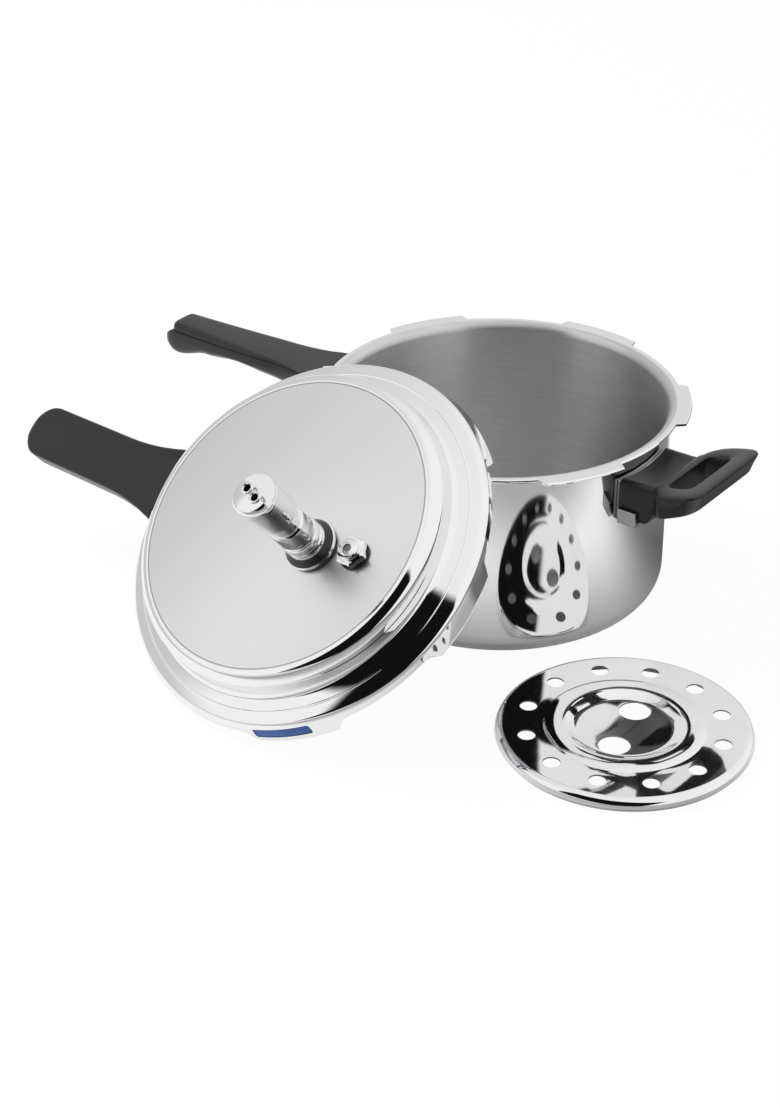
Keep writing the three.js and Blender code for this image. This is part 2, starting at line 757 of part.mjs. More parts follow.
// Lid handle, drawn along +X and turned round later
const lidBracketSize = {
  wall: lidSkirtRadius,
  span: lidBracketSpan,
  bottom: lidHandleTop - lidTongueBelowTop,
  top: lidHandleTop - lidTongueBelowTop + lidBracketHeight - bracketSheet,
  length: lidTongueLength,
  width: lidTongueWidth,
  tongueBottom: lidHandleTop - lidTongueBelowTop,
  thickness: lidTongueThickness,
  hole: lidSkirtRadius + lidTongueLength - lidScrewInset,
};
const lidHandleBottom = lidHandleTop - lidHandleDepth;
const lidScrewHead = lidHandleBottom + lidScrewRecess;
const lidScrewEnd = lidHandleTop - lidScrewCover - gap;

function makeLidHandle() {
  const plan = handlePlan(lidSkirtRadius, lidHandleReach, {
    rootHalf: lidHandleRootHalf,
    neckHalf: lidHandleNeckHalf,
    tipHalf: lidHandleTipHalf,
    rootStraight: lidHandleRootStraight,
    neckStart: lidHandleNeckStart,
    tipCorner: lidHandleTipCorner,
    tipBulge: lidHandleTipBulge,
  });
  const hookEnd = lidHandleReach - lidHandleHookInset;
  const hook = block(
    [hookEnd - lidHandleHookLength, -lidHandleTipHalf / 2, lidHandleBottom - lidHandleHook],
    [hookEnd, lidHandleTipHalf / 2, lidHandleBottom + lidHandleRound],
  );
  return prism(plan, lidHandleBottom, lidHandleTop, lidHandleRound)
    .add(hook)
    .subtract(bracketRoom(lidBracketSize))
    .subtract(screwHole(lidBracketSize.hole, lidScrewHead, lidScrewEnd));
}

function makeLidScrew() {
  const screw = new THREE.LatheGeometry(
    screwOutline(lidScrewHead, lidScrewEnd).map(([r, z]) => new THREE.Vector2(r, z)), tinySteps,
  );
  return solidFrom(screw.rotateX(Math.PI / 2).translate(lidBracketSize.hole, 0, 0));
}

// Hexagon nut under the lid
function makeNut(stemRadius) {
  const top = lidTop - lidWall - gap;
  const hole = rod(stemRadius + gap, top - nutHeight - cutOver, top + cutOver, smallSteps);
  return prism(hexagon(nutFlats), top - nutHeight, top).subtract(hole);
}

// Heights of the pieces stacked on the lid
const washerBottom = lidTop + gap;
const washerTop = washerBottom + washerThickness;
const fittingBottom = washerTop + gap;
const stemBottom = lidTop - lidWall - gap - nutHeight - stemPastNut;

// Flat sealing ring on top of the lid
function makeWasher(stemRadius, outer) {
  const inner = stemRadius + gap;
  return revolveRing([
    [inner, washerBottom],
    [outer, washerBottom],
    [outer, washerTop],
    [inner, washerTop],
  ], smallSteps);
}

// Heights of the vent above the lid
const ventFlangeTop = fittingBottom + ventFlangeHeight;
const ventBodyTop = ventFlangeTop + ventBodyHeight;
const ventTubeTop = ventBodyTop + ventTubeHeight;
const ventTip = ventTubeTop + ventTipHeight;

// Vent: stem through the lid, flange, grooved body and the tube that carries the weight
function makeVentTube() {
  const grooveHeight = (ventFlangeTop + ventBodyTop) / 2;
  return revolveRing([
    [ventBore, stemBottom],
    [ventStemRadius, stemBottom],
    [ventStemRadius, fittingBottom],
    [ventFlangeRadius, fittingBottom],
    [ventFlangeRadius, ventFlangeTop - ventGroove],
    [ventFlangeRadius - ventGroove, ventFlangeTop],
    [ventBodyRadius, ventFlangeTop],
    [ventBodyRadius, grooveHeight - ventGroove],
    [ventBodyRadius - ventGroove, grooveHeight],
    [ventBodyRadius, grooveHeight + ventGroove],
    [ventBodyRadius, ventBodyTop],
    [ventTubeRadius, ventBodyTop],
    [ventTubeRadius, ventTubeTop],
    [ventTipRadius, ventTip],
    [ventBore, ventTip],
  ], smallSteps);
}

// Heights of the weight's pieces
const collarBottom = ventBodyTop + collarAboveVent;
const weightBottom = ventTubeTop + collarAboveVent;
const weightTop = weightBottom + weightHeight;
const weightCeiling = ventTip + weightRoom;
const spigotBottom = weightBottom - weightSpigotLength;

// Weight body: bored from below, with a milled step and two steam ports on top
function makeWeightBody() {
  const pinSocket = weightCeiling + pinHold;
  const body = revolve([
    [0, pinSocket],
    [pinRadius + gap, pinSocket],
    [pinRadius + gap, weightCeiling],
    [weightBore, weightCeiling],
    [weightBore, spigotBottom],
    [weightSpigotRadius, spigotBottom],
    [weightSpigotRadius, weightBottom],
    [weightRadius, weightBottom],
    [weightRadius, weightTop - weightChamfer],
    [weightRadius - weightChamfer, weightTop],
    [0, weightTop],
  ], smallSteps);
  const step = block(
    [-weightRadius - cutOver, weightStepEdge, weightTop - weightStepDepth],
    [weightRadius + cutOver, weightRadius + cutOver, weightTop + cutOver],
  );
  const ports = [-1, 1].map((sideSign) => rod(
    weightPortRadius, weightCeiling - cutOver, weightTop + cutOver, tinySteps,
    sideSign * weightPortOffset, 0,
  ));
  return body.subtract(step).subtract(ports[0]).subtract(ports[1]);
}

// Collar under the weight, which guides it on the vent's tube
function makeWeightCollar() {
  const top = weightBottom - gap;
  const socket = weightSpigotRadius + gap;
  return revolveRing([
    [weightBore, collarBottom],
    [collarRadius - collarChamfer, collarBottom],
    [collarRadius, collarBottom + collarChamfer],
    [collarRadius, top - collarChamfer],
    [collarRadius - collarChamfer, top],
    [socket, top],
    [socket, spigotBottom - gap],
    [weightBore, spigotBottom - gap],
  ], smallSteps);
}

// Pin in the weight, whose point closes the vent's bore
function makeWeightPin() {
  const shaftBottom = ventTip + collarAboveVent;
  const shaftTop = weightCeiling + pinHold - gap;
  return revolve([
    [0, shaftBottom - pinTipLength],
    [pinTipRadius, shaftBottom - pinTipLength],
    [pinTipRadius, shaftBottom - collarAboveVent],
    [pinRadius, shaftBottom],
    [pinRadius, shaftTop],
    [0, shaftTop],
  ], tinySteps);
}

// Safety plug: hexagon with a round boss, bored for the fusible core
const plugHexTop = fittingBottom + plugHexHeight;
const plugTop = plugHexTop + plugBossHeight;

function makeSafetyPlug() {
  const boss = rod(plugBossRadius, fittingBottom + gap, plugTop, smallSteps);
  const stem = rod(plugStemRadius, stemBottom, plugHexTop, smallSteps);
  const bore = rod(fuseRadius + gap, stemBottom - cutOver, plugTop + cutOver, tinySteps);
  return prism(hexagon(plugFlats), fittingBottom, plugHexTop).add(boss).add(stem).subtract(bore);
}

function makeSafetyFuse() {
  return rod(fuseRadius, stemBottom + fuseRecess, plugTop - fuseRecess, tinySteps);
}

// Separator plate: a pressed disc on a turned-down rim, with steam holes and two lifting holes
function makeSeparatorPlate() {
  const shoulderRadius = plateRadius - plateShoulder;
  const shoulderHeight = plateFlat - plateShoulder;
  const pressed = [
    [plateDishRadius, plateDish],
    [plateCrestInner, plateCrest],
    [plateCrestOuter, plateCrest],
    [plateFlatInner, plateFlat],
  ];
  const disc = revolve([
    [0, plateDish - plateSheet],
    ...pressed.map(([r, z]) => [r, z - plateSheet]),
    ...arc(shoulderRadius, shoulderHeight, plateShoulder - plateSheet, 90, 0, 3),
    [plateRimRadius - plateSheet, 0],
    [plateRimRadius, 0],
    ...arc(shoulderRadius, shoulderHeight, plateShoulder, 0, 90, 3),
    ...pressed.toReversed(),
    [0, plateDish],
  ], plateSteps);
  const hole = (radius, circle, angle, steps) => rod(
    radius, -cutOver, plateCrest + cutOver, steps,
    circle * Math.cos(radians(angle)), circle * Math.sin(radians(angle)),
  );
  const steamHoles = Array.from({ length: steamHoleCount }, (_, i) => (
    hole(steamHoleRadius, steamHoleCircle, steamHoleStart + (360 * i) / steamHoleCount, tinySteps)
  ));
  const liftHoles = [0, 180].map((turn) => (
    hole(liftHoleRadius, liftHoleOffset, liftHoleDirection + turn, smallSteps)
  ));
  return [...steamHoles, ...liftHoles].reduce((rest, cut) => rest.subtract(cut), disc);
}

// How far the rim reaches in a direction, with or without a lug there
function rimReach(angle) {
  const pitch = 360 / lugCount;
  const fromLug = THREE.MathUtils.euclideanModulo(angle - firstPotLug, pitch);
  const offLug = Math.min(fromLug, pitch - fromLug);
  return offLug < potLugSpan / 2 ? rimRadius + lugReach : rimRadius;
}

// Distance from the pot's axis at which the leaning lid's mouth just clears the rim beside it
function leanDistance(centreHeight) {
  const tilt = radians(leanTilt);
  const drop = potHeight - centreHeight;
  const mouth = lidSkirtRadius - lidWall - gap;
  const halfChord = Math.sqrt(mouth ** 2 - (drop / Math.sin(tilt)) ** 2);
  let reach = 0;
  for (let angle = -90; angle <= 90; angle += 0.5) {
    const radius = rimReach(leanAzimuth + angle);
    const beside = Math.abs(radius * Math.sin(radians(angle)) - leanShift);
    if (beside >= halfChord) {
      reach = Math.max(reach, radius * Math.cos(radians(angle)));
    }
  }
  return reach + drop / Math.tan(tilt) + gap / Math.sin(tilt);
}

// Moves a mesh in its group and turns it about its upright axis
function at(mesh, x, y, turn = 0) {
  mesh.position.set(x, y, 0);
  mesh.rotation.z = radians(turn);
  return mesh;
}

const cooker = new THREE.Group();

// Pot, base and the two handles that stay on the pot
cooker.add(
  piece('pot_body', makePotBody(), steel),
  piece('base_cap', makeBaseCap(), satinSteel),
  piece('heat_core', makeHeatCore(), aluminium),
  piece('helper_bracket', makeHelperBracket(), steel),
  piece('helper_handle', makeHelperHandle(), bakelite),
  piece('helper_screw', makeHelperScrew(), steel),
);
const potHandleGroup = new THREE.Group();
potHandleGroup.rotation.z = Math.PI;
potHandleGroup.add(
  piece('pot_handle_bracket', tongueBracket(potBracket), steel),
  piece('pot_handle', makePotHandle(), bakelite),
  piece('pot_handle_screw', makePotScrew(), steel),
);
cooker.add(potHandleGroup);

// Lid in its own upright frame, with the handle along -X
const lid = new THREE.Group();
lid.add(
  piece('lid_shell', makeLidShell(), steel),
  piece('gasket', makeGasket(), silicone),
  at(piece('vent_tube', makeVentTube(), steel), ventX, ventY),
  at(piece('vent_washer', makeWasher(ventStemRadius, ventWasherRadius), darkRubber), ventX, ventY),
  at(piece('vent_nut', makeNut(ventStemRadius), steel), ventX, ventY),
  at(piece('weight_body', makeWeightBody(), steel), ventX, ventY, weightTurn),
  at(piece('weight_collar', makeWeightCollar(), satinSteel), ventX, ventY),
  at(piece('weight_pin', makeWeightPin(), satinSteel), ventX, ventY),
  at(piece('safety_plug', makeSafetyPlug(), steel), plugX, plugY),
  at(piece('safety_fuse', makeSafetyFuse(), fusibleAlloy), plugX, plugY),
  at(piece('safety_washer', makeWasher(plugStemRadius, plugWasherRadius), darkRubber), plugX, plugY),
  at(piece('safety_nut', makeNut(plugStemRadius), steel), plugX, plugY),
);
const lidHandleGroup = new THREE.Group();
lidHandleGroup.rotation.z = Math.PI;
lidHandleGroup.add(
  piece('lid_handle_bracket', tongueBracket(lidBracketSize), steel),
  piece('lid_handle', makeLidHandle(), bakelite),
  piece('lid_handle_screw', makeLidScrew(), steel),
);
lid.add(lidHandleGroup);

// Leans the lid with its lowest edge on the floor and its mouth over the rim
const leaningLid = new THREE.Group();
leaningLid.add(lid);
lid.rotation.set(radians(leanTilt), 0, radians(leanTurn));
leaningLid.rotation.z = radians(leanAzimuth + 90);
leaningLid.updateMatrixWorld(true);
const lidHeight = floorGap - new THREE.Box3().setFromObject(leaningLid, true).min.z;
const leanOut = leanDistance(lidHeight);
leaningLid.position.set(
  leanOut * Math.cos(radians(leanAzimuth)) + leanShift * Math.cos(radians(leanAzimuth + 90)),
  leanOut * Math.sin(radians(leanAzimuth)) + leanShift * Math.sin(radians(leanAzimuth + 90)),
  lidHeight,
);
cooker.add(leaningLid);

// Separator plate on the floor
cooker.add(at(
  piece('separator_plate', makeSeparatorPlate(), steel),
  plateDistance * Math.cos(radians(plateAzimuth)),
  plateDistance * Math.sin(radians(plateAzimuth)),
));

export default cooker;
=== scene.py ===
import math
import bmesh
import bpy
from mathutils import Matrix, Vector


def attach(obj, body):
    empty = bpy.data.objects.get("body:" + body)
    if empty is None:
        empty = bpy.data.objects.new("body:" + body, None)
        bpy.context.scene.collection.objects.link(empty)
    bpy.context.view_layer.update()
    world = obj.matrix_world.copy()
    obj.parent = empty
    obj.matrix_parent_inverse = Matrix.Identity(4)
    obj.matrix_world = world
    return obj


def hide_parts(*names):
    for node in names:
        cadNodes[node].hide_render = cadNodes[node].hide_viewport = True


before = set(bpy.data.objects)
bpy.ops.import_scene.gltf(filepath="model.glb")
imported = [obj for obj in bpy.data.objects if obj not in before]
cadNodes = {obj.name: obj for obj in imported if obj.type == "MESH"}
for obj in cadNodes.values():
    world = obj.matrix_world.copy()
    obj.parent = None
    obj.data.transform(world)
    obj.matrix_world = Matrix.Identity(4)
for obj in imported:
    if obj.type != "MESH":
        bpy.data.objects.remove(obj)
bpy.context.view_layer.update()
print("frame loaded:", len(cadNodes), "nodes")

mm = 0.001
asDrawn = Matrix.Identity(4)
turnedBack = Matrix.Rotation(math.pi, 4, "Z")


def spot(x, y, z=0):  # place given in millimetres
    return Vector((x, y, z)) * mm


# shader sums
class Wire:
    def __init__(self, tree, socket=None):
        self.tree = tree
        self.socket = socket

    def add(self, kind, inputs, output=0, **settings):
        node = self.tree.nodes.new(kind)
        for key, value in settings.items():
            setattr(node, key, value)
        for key, value in inputs.items():
            if isinstance(value, Wire):
                self.tree.links.new(value.socket, node.inputs[key])
            else:
                node.inputs[key].default_value = value
        return Wire(self.tree, node.outputs[output])

    def math(self, operation, other=0.0):
        return self.add("ShaderNodeMath", {0: self, 1: other}, operation=operation)

    def __add__(self, other):
        return self.math("ADD", other)

    def __sub__(self, other):
        return self.math("SUBTRACT", other)

    def __rsub__(self, other):
        return self.add("ShaderNodeMath", {0: other, 1: self}, operation="SUBTRACT")

    def __mul__(self, other):
        return self.math("MULTIPLY", other)

    __radd__ = __add__
    __rmul__ = __mul__

    def step(self, low, high):  # 0 at low, 1 at high
        span = {"Value": self, "From Min": low, "From Max": high}
        return self.add("ShaderNodeMapRange", span, interpolation_type="SMOOTHSTEP")

    def band(self, low, high, soft):  # 1 between low and high
        return self.step(low, low + soft) * self.step(high, high - soft)

    def paint(self, first, second):  # colour between two
        return self.add("ShaderNodeMix", {0: self, 6: first, 7: second}, output=2, data_type="RGBA")

    def grow(self, x, y, z):
        return self.add("ShaderNodeVectorMath", {0: self, 1: (x, y, z)}, operation="MULTIPLY")

    def noise(self, scale, detail=2.0):
        return self.add("ShaderNodeTexNoise", {"Vector": self, "Scale": scale, "Detail": detail})

    def dot(self, other):
        return self.add(
            "ShaderNodeVectorMath", {0: self, 1: other}, output="Value", operation="DOT_PRODUCT"
        )

    def bump(self, strength, distance):
        return self.add(
            "ShaderNodeBump", {"Height": self, "Strength": strength, "Distance": distance}
        )

    def around(self, origin=(0, 0, 0), axis=(0, 0, 1)):  # radius and height in millimetres
        away = self.add("ShaderNodeVectorMath", {0: self, 1: origin}, operation="SUBTRACT")
        away = away.grow(1 / mm, 1 / mm, 1 / mm)
        height = away.dot(axis)
        radius = (away.dot(away) - height * height).math("SQRT")
        return radius, height


def startMaterial(name):
    material = bpy.data.materials.new(name)
    material.use_nodes = True
    shader = material.node_tree.nodes["Principled BSDF"]
    place = Wire(material.node_tree).add("ShaderNodeTexCoord", {}, output="Object")
    return material, shader, place


def joinShader(shader, fixed, varying):
    for key, value in fixed.items():
        shader.inputs[key].default_value = value
    for key, wire in varying.items():
        wire.tree.links.new(wire.socket, shader.inputs[key])


def grey(value):
    return (value, value, value * 1.005, 1.0)


# materials that several pieces share
def makeMirror(name, shade, smoothest, roughest):
    material, shader, place = startMaterial(name)
    cloud = place.noise(scale=38.0, detail=3.0)
    fine = place.grow(1.0, 1.0, 6.0).noise(scale=700.0)
    wave = place.noise(scale=16.0, detail=1.0)
    joinShader(shader, {"Metallic": 1.0}, {
        "Base Color": cloud.step(0.3, 0.7).paint(grey(shade - 0.03), grey(shade)),
        "Roughness": cloud * (roughest - smoothest) + fine * 0.012 + smoothest,
        "Normal": (wave + fine * 0.01).bump(strength=0.25, distance=0.0006),
    })
    return material


def makeSatin(name, shade, smoothest, roughest, stretch=1.0):
    material, shader, place = startMaterial(name)
    grain = place.grow(1.0, 1.0, stretch).noise(scale=420.0, detail=3.0)
    cloud = place.noise(scale=45.0)
    joinShader(shader, {"Metallic": 1.0}, {
        "Base Color": cloud.step(0.3, 0.7).paint(grey(shade - 0.05), grey(shade)),
        "Roughness": grain * (roughest - smoothest) + smoothest,
        "Normal": grain.bump(strength=0.15, distance=0.0002),
    })
    return material


def makeBakelite(dark, light):
    material, shader, place = startMaterial("bakelite")
    cloud = place.noise(scale=24.0, detail=3.0)
    grain = place.noise(scale=1400.0)
    joinShader(shader, {"Specular IOR Level": 0.42}, {
        "Base Color": cloud.step(0.25, 0.75).paint(dark, light),
        "Roughness": cloud * 0.10 + grain * 0.06 + 0.24,
        "Normal": (grain * 0.4 + cloud).bump(strength=0.10, distance=0.0003),
    })
    return material


def makeSoft(name, dark, light, smoothest):
    material, shader, place = startMaterial(name)
    cloud = place.noise(scale=60.0, detail=3.0)
    grain = place.noise(scale=900.0)
    joinShader(shader, {}, {
        "Base Color": cloud.step(0.25, 0.75).paint(dark, light),
        "Roughness": grain * 0.15 + smoothest,
        "Normal": grain.bump(strength=0.2, distance=0.0003),
    })
    return material


mirrorSteel = makeMirror("mirrorSteel", shade=0.86, smoothest=0.02, roughest=0.05)
satinSteel = makeSatin("satinSteel", shade=0.68, smoothest=0.22, roughest=0.38, stretch=8.0)
# dark steel for the helper bracket: painted shade in the gap between the block and the pot wall
shadedBracketSteel = makeSatin("shadedBracketSteel", shade=0.45, smoothest=0.25, roughest=0.4)
coreAluminium = makeSatin("coreAluminium", shade=0.72, smoothest=0.35, roughest=0.5)
fusibleAlloy = makeSatin("fusibleAlloy", shade=0.30, smoothest=0.4, roughest=0.6)
bakelite = makeBakelite((0.006, 0.006, 0.0065, 1), (0.012, 0.012, 0.013, 1))
blueSilicone = makeSoft("blueSilicone", (0.012, 0.065, 0.25, 1), (0.022, 0.10, 0.35, 1), 0.3)
sealRubber = makeSoft("sealRubber", (0.006, 0.006, 0.006, 1), (0.014, 0.014, 0.014, 1), 0.45)
print("shared materials made")


# shapes: lists of points in millimetres and faces
def clamp(value):
    return min(1, max(0, value))


def onArc(x, z, radius, turn):
    return x + radius * math.cos(math.radians(turn)), z + radius * math.sin(math.radians(turn))


def bend(x, z, radius, start, end, count):
    return [onArc(x, z, radius, start + (end - start) * i / count) for i in range(count + 1)]


def swept(angles, sectionAt, ring=False, centre=(0, 0)):
    sections = [sectionAt(angle) for angle in angles]
    points, rows = [], []
    for k in range(len(sections[0])):
        row = []
        for angle, section in zip(angles, sections):
            radius, height = section[k]
            if radius < 1e-6 and row:
                row.append(row[0])
                continue
            row.append(len(points))
            points.append((*onArc(*centre, radius, angle), height))
        rows.append(row)
    faces = []
    followers = rows[1:] + rows[:1] if ring else rows[1:]
    for near, far in zip(rows, followers):
        for i in range(len(angles)):
            j = (i + 1) % len(angles)
            face = list(dict.fromkeys([near[i], near[j], far[j], far[i]]))
            if len(face) > 2:
                faces.append(face)
    return points, faces


def turned(profile, steps, ring=False, centre=(0, 0)):
    angles = [360 * i / steps for i in range(steps)]
    return swept(angles, lambda angle: profile, ring, centre)


def lofted(rings):  # skin over rings, closed at both ends
    count = len(rings[0])
    points = [point for ring in rings for point in ring]
    faces = []
    for k in range(len(rings) - 1):
        for i in range(count):
            j = (i + 1) % count
            faces.append([k * count + i, k * count + j, (k + 1) * count + j, (k + 1) * count + i])
    for ring, first in ((rings[0], 0), (rings[-1], len(points) - count)):
        middle = len(points)
        points = points + [tuple(sum(p[axis] for p in ring) / count for axis in range(3))]
        faces += [[first + i, first + (i + 1) % count, middle] for i in range(count)]
    return points, faces


def looped(rings):  # skin over rings, the last joined to the first
    count = len(rings[0])
    points = [point for ring in rings for point in ring]
    faces = []
    for i in range(len(rings)):
        j = (i + 1) % len(rings)
        for k in range(count):
            m = (k + 1) % count
            faces.append([i * count + k, j * count + k, j * count + m, i * count + m])
    return points, faces


def together(*shapes):
    points, faces = [], []
    for morePoints, moreFaces in shapes:
        faces += [[index + len(points) for index in face] for face in moreFaces]
        points += morePoints
    return points, faces


def makeMesh(name, shape):
    points, faces = shape
    mesh = bpy.data.meshes.new(name)
    mesh.from_pydata([spot(*point) for point in points], [], faces)
    clean = bmesh.new()
    clean.from_mesh(mesh)
    bmesh.ops.remove_doubles(clean, verts=clean.verts, dist=1e-7)
    bmesh.ops.recalc_face_normals(clean, faces=clean.faces)
    clean.to_mesh(mesh)
    clean.free()
    obj = bpy.data.objects.new(name, mesh)
    bpy.context.scene.collection.objects.link(obj)
    return obj


def settle(obj):  # modifiers become plain mesh
    graph = bpy.context.evaluated_depsgraph_get()
    mesh = bpy.data.meshes.new_from_object(obj.evaluated_get(graph))
    obj.modifiers.clear()
    obj.data = mesh


def cut(obj, *cutters):
    for cutter in cutters:
        trim = obj.modifiers.new("trim", "BOOLEAN")
        trim.operation = "DIFFERENCE"
        trim.solver = "EXACT"
        trim.object = cutter
        settle(obj)
        bpy.data.objects.remove(cutter)


def holeCutter(x, y, radius, low, high, steps=48):
    drill = [(0, low), (radius, low), (radius, high), (0, high)]
    return makeMesh("holeCutter", turned(drill, steps, centre=(x, y)))


def joinMeshes(obj, other):
    joined = bmesh.new()
    joined.from_mesh(obj.data)
    joined.from_mesh(other.data)
    joined.to_mesh(obj.data)
    joined.free()
    bpy.data.objects.remove(other)


def finishPiece(obj, body, material, nodes, place=asDrawn, sharp=30):
    obj.data.transform(place)
    obj.data.materials.clear()
    obj.data.materials.append(material)
    obj.data.shade_smooth()
    obj.data.set_sharp_from_angle(angle=math.radians(sharp))
    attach(obj, body)
    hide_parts(*nodes)
    return obj


# node tree that sets copies in a ring
def makeRingTree():
    tree = bpy.data.node_groups.new("ringOfCopies", "GeometryNodeTree")
    sockets = {}
    for label, kind in (
        ("Geometry", "Geometry"), ("Copy", "Object"), ("Count", "Int"), ("Radius", "Float"),
        ("Turn", "Float"), ("Finish", "Material"),
    ):
        made = tree.interface.new_socket(label, in_out="INPUT", socket_type="NodeSocket" + kind)
        sockets[label] = made.identifier
    tree.interface.new_socket("Geometry", in_out="OUTPUT", socket_type="NodeSocketGeometry")
    start = tree.nodes.new("NodeGroupInput")
    inputs = {s.name: Wire(tree, s) for s in start.outputs}
    root = inputs["Geometry"]
    circle = {"Vertices": inputs["Count"], "Radius": inputs["Radius"]}
    ring = root.add("GeometryNodeMeshCircle", circle)
    turn = root.add("ShaderNodeCombineXYZ", {"Z": inputs["Turn"]})
    ring = root.add("GeometryNodeTransform", {"Geometry": ring, "Rotation": turn})
    outward = root.add("GeometryNodeInputPosition", {})
    facing = root.add(
        "FunctionNodeAlignRotationToVector", {"Vector": outward}, axis="X", pivot_axis="Z"
    )
    copy = root.add("GeometryNodeObjectInfo", {"Object": inputs["Copy"]}, output="Geometry")
    copies = root.add(
        "GeometryNodeInstanceOnPoints", {"Points": ring, "Instance": copy, "Rotation": facing}
    )
    real = root.add("GeometryNodeRealizeInstances", {"Geometry": copies})
    done = root.add("GeometryNodeSetMaterial", {"Geometry": real, "Material": inputs["Finish"]})
    end = tree.nodes.new("NodeGroupOutput")
    tree.links.new(done.socket, end.inputs["Geometry"])
    return tree, sockets


ringTree, ringSockets = makeRingTree()


def ringOf(name, copy, count, radius, turn, finish):
    obj = bpy.data.objects.new(name, bpy.data.meshes.new(name))
    bpy.context.scene.collection.objects.link(obj)
    spread = obj.modifiers.new("spread", "NODES")
    spread.node_group = ringTree
    values = {
        "Copy": copy, "Count": count, "Radius": radius * mm, "Turn": math.radians(turn), "Finish": finish,
    }
    for label, value in values.items():
        spread[ringSockets[label]] = value
    settle(obj)
    bpy.data.objects.remove(copy)
    return obj


# pot
pot = {
    "radius": 111, "height": 139, "wall": 2, "corner": 18.5, "lip": 6, "rim": 118, "lugReach": 6,
    "bottom": 3.8, "lugs": 6, "lugHalf": 14, "lugSlope": 1.3, "edge": (0.9, 0.3),
    "polished": 0.86, "brushed": (0.65, 0.75), "brushedRough": 0.28, "wallFade": (110.4, 109.4),
    "bottomFade": (4.5, 5.2), "sheetFade": (4.8, 5.2), "lipLow": (132.2, 133.0), "lipOut": (115.0, 113.5),
}
potLip = (pot["radius"] - pot["wall"] + pot["lip"], pot["height"] - pot["lip"])  # centre of the lip's arc


def makePotSteel():  # brushed inside, up to the lip, and round the lower corner, where the darker brushed colour also paints shade at the pot's foot
    material, shader, place = startMaterial("potSteel")
    radius, height = place.around()
    outward, rise = radius - potLip[0], height - potLip[1]
    fromLip = (outward * outward + rise * rise).math("SQRT")
    onLip = fromLip.step(*pot["sheetFade"]) * height.step(*pot["lipLow"])
    onLip = onLip * radius.step(*pot["lipOut"])
    # brushed inside; on the lower outside corner the same darker colour is painted shade
    brushedAndFootShade = radius.step(*pot["wallFade"]) * height.step(*pot["bottomFade"])
    brushedAndFootShade = brushedAndFootShade.math("MAXIMUM", onLip)
    lines = place.grow(1.0, 1.0, 60.0).noise(scale=40.0, detail=3.0)
    cloud = place.noise(scale=22.0, detail=3.0)
    brushed = lines.step(0.3, 0.7).paint(*[grey(shade) for shade in pot["brushed"]])
    joinShader(shader, {"Metallic": 1.0, "Anisotropic": 1.0, "Anisotropic Rotation": 0.25}, {
        "Base Color": brushedAndFootShade.paint(grey(pot["polished"]), brushed),
        "Roughness": brushedAndFootShade * (lines * 0.06 + pot["brushedRough"]) + cloud * 0.02 + 0.02,
        "Normal": (brushedAndFootShade * lines * 0.08 + cloud * 0.2).bump(strength=0.2, distance=0.0006),
    })
    return material


def fromMiddle(angle, count):  # degrees from the middle of the nearest of a ring of lugs
    pitch = 360 / count
    return abs(angle % pitch - pitch / 2)


def ringAngles(step, count, offsets):  # even angles, and those where lugs start and end
    pitch = 360 / count
    even = [step * i for i in range(round(360 / step))]
    ends = [
        pitch * k + pitch / 2 + side * off for k in range(count) for side in (-1, 1) for off in offsets
    ]
    return sorted({round(angle % 360, 3) for angle in even + ends})


def potSection(angle):
    lug = clamp((pot["lugHalf"] - fromMiddle(angle, pot["lugs"])) / pot["lugSlope"])
    rim = pot["rim"] + pot["lugReach"] * lug
    top, wall = pot["height"], pot["wall"]
    flat, soft = pot["edge"]
    corner = pot["corner"]
    centre = pot["radius"] - corner
    raised = pot["bottom"] + corner
    return [
        (0, pot["bottom"]),
        *bend(centre, raised, corner, -90, 0, 14),
        *bend(*potLip, pot["lip"] - wall, 180, 90, 8),
        (rim - flat, top - wall), (rim - soft, top - wall + soft), (rim, top - wall / 2),
        (rim - soft, top - soft), (rim - flat, top),
        *bend(*potLip, pot["lip"], 90, 180, 12),
        *bend(centre, raised, corner - wall, 0, -90, 14),
        (0, pot["bottom"] + wall),
    ]


potAngles = ringAngles(1.5, pot["lugs"], [pot["lugHalf"] - pot["lugSlope"] * share for share in (0, 0.5, 1)])
potBody = makeMesh("potBody", swept(potAngles, potSection))
finishPiece(potBody, "pot", makePotSteel(), ["pot_body"], sharp=24)

base = {"radius": 80, "rise": 3.5, "sheet": 0.8, "round": 1.5, "soft": 0.2}
baseInner = base["radius"] - base["sheet"]
baseCap = makeMesh("baseCap", turned([
    (0, 0),
    *bend(base["radius"] - base["round"], base["round"], base["round"], -90, 0, 5),
    (base["radius"], base["rise"] - base["soft"]), (base["radius"] - base["soft"], base["rise"]),
    (baseInner, base["rise"]), (baseInner, base["sheet"]), (0, base["sheet"]),
], 160))
finishPiece(baseCap, "pot", satinSteel, ["base_cap"])
print("pot made")

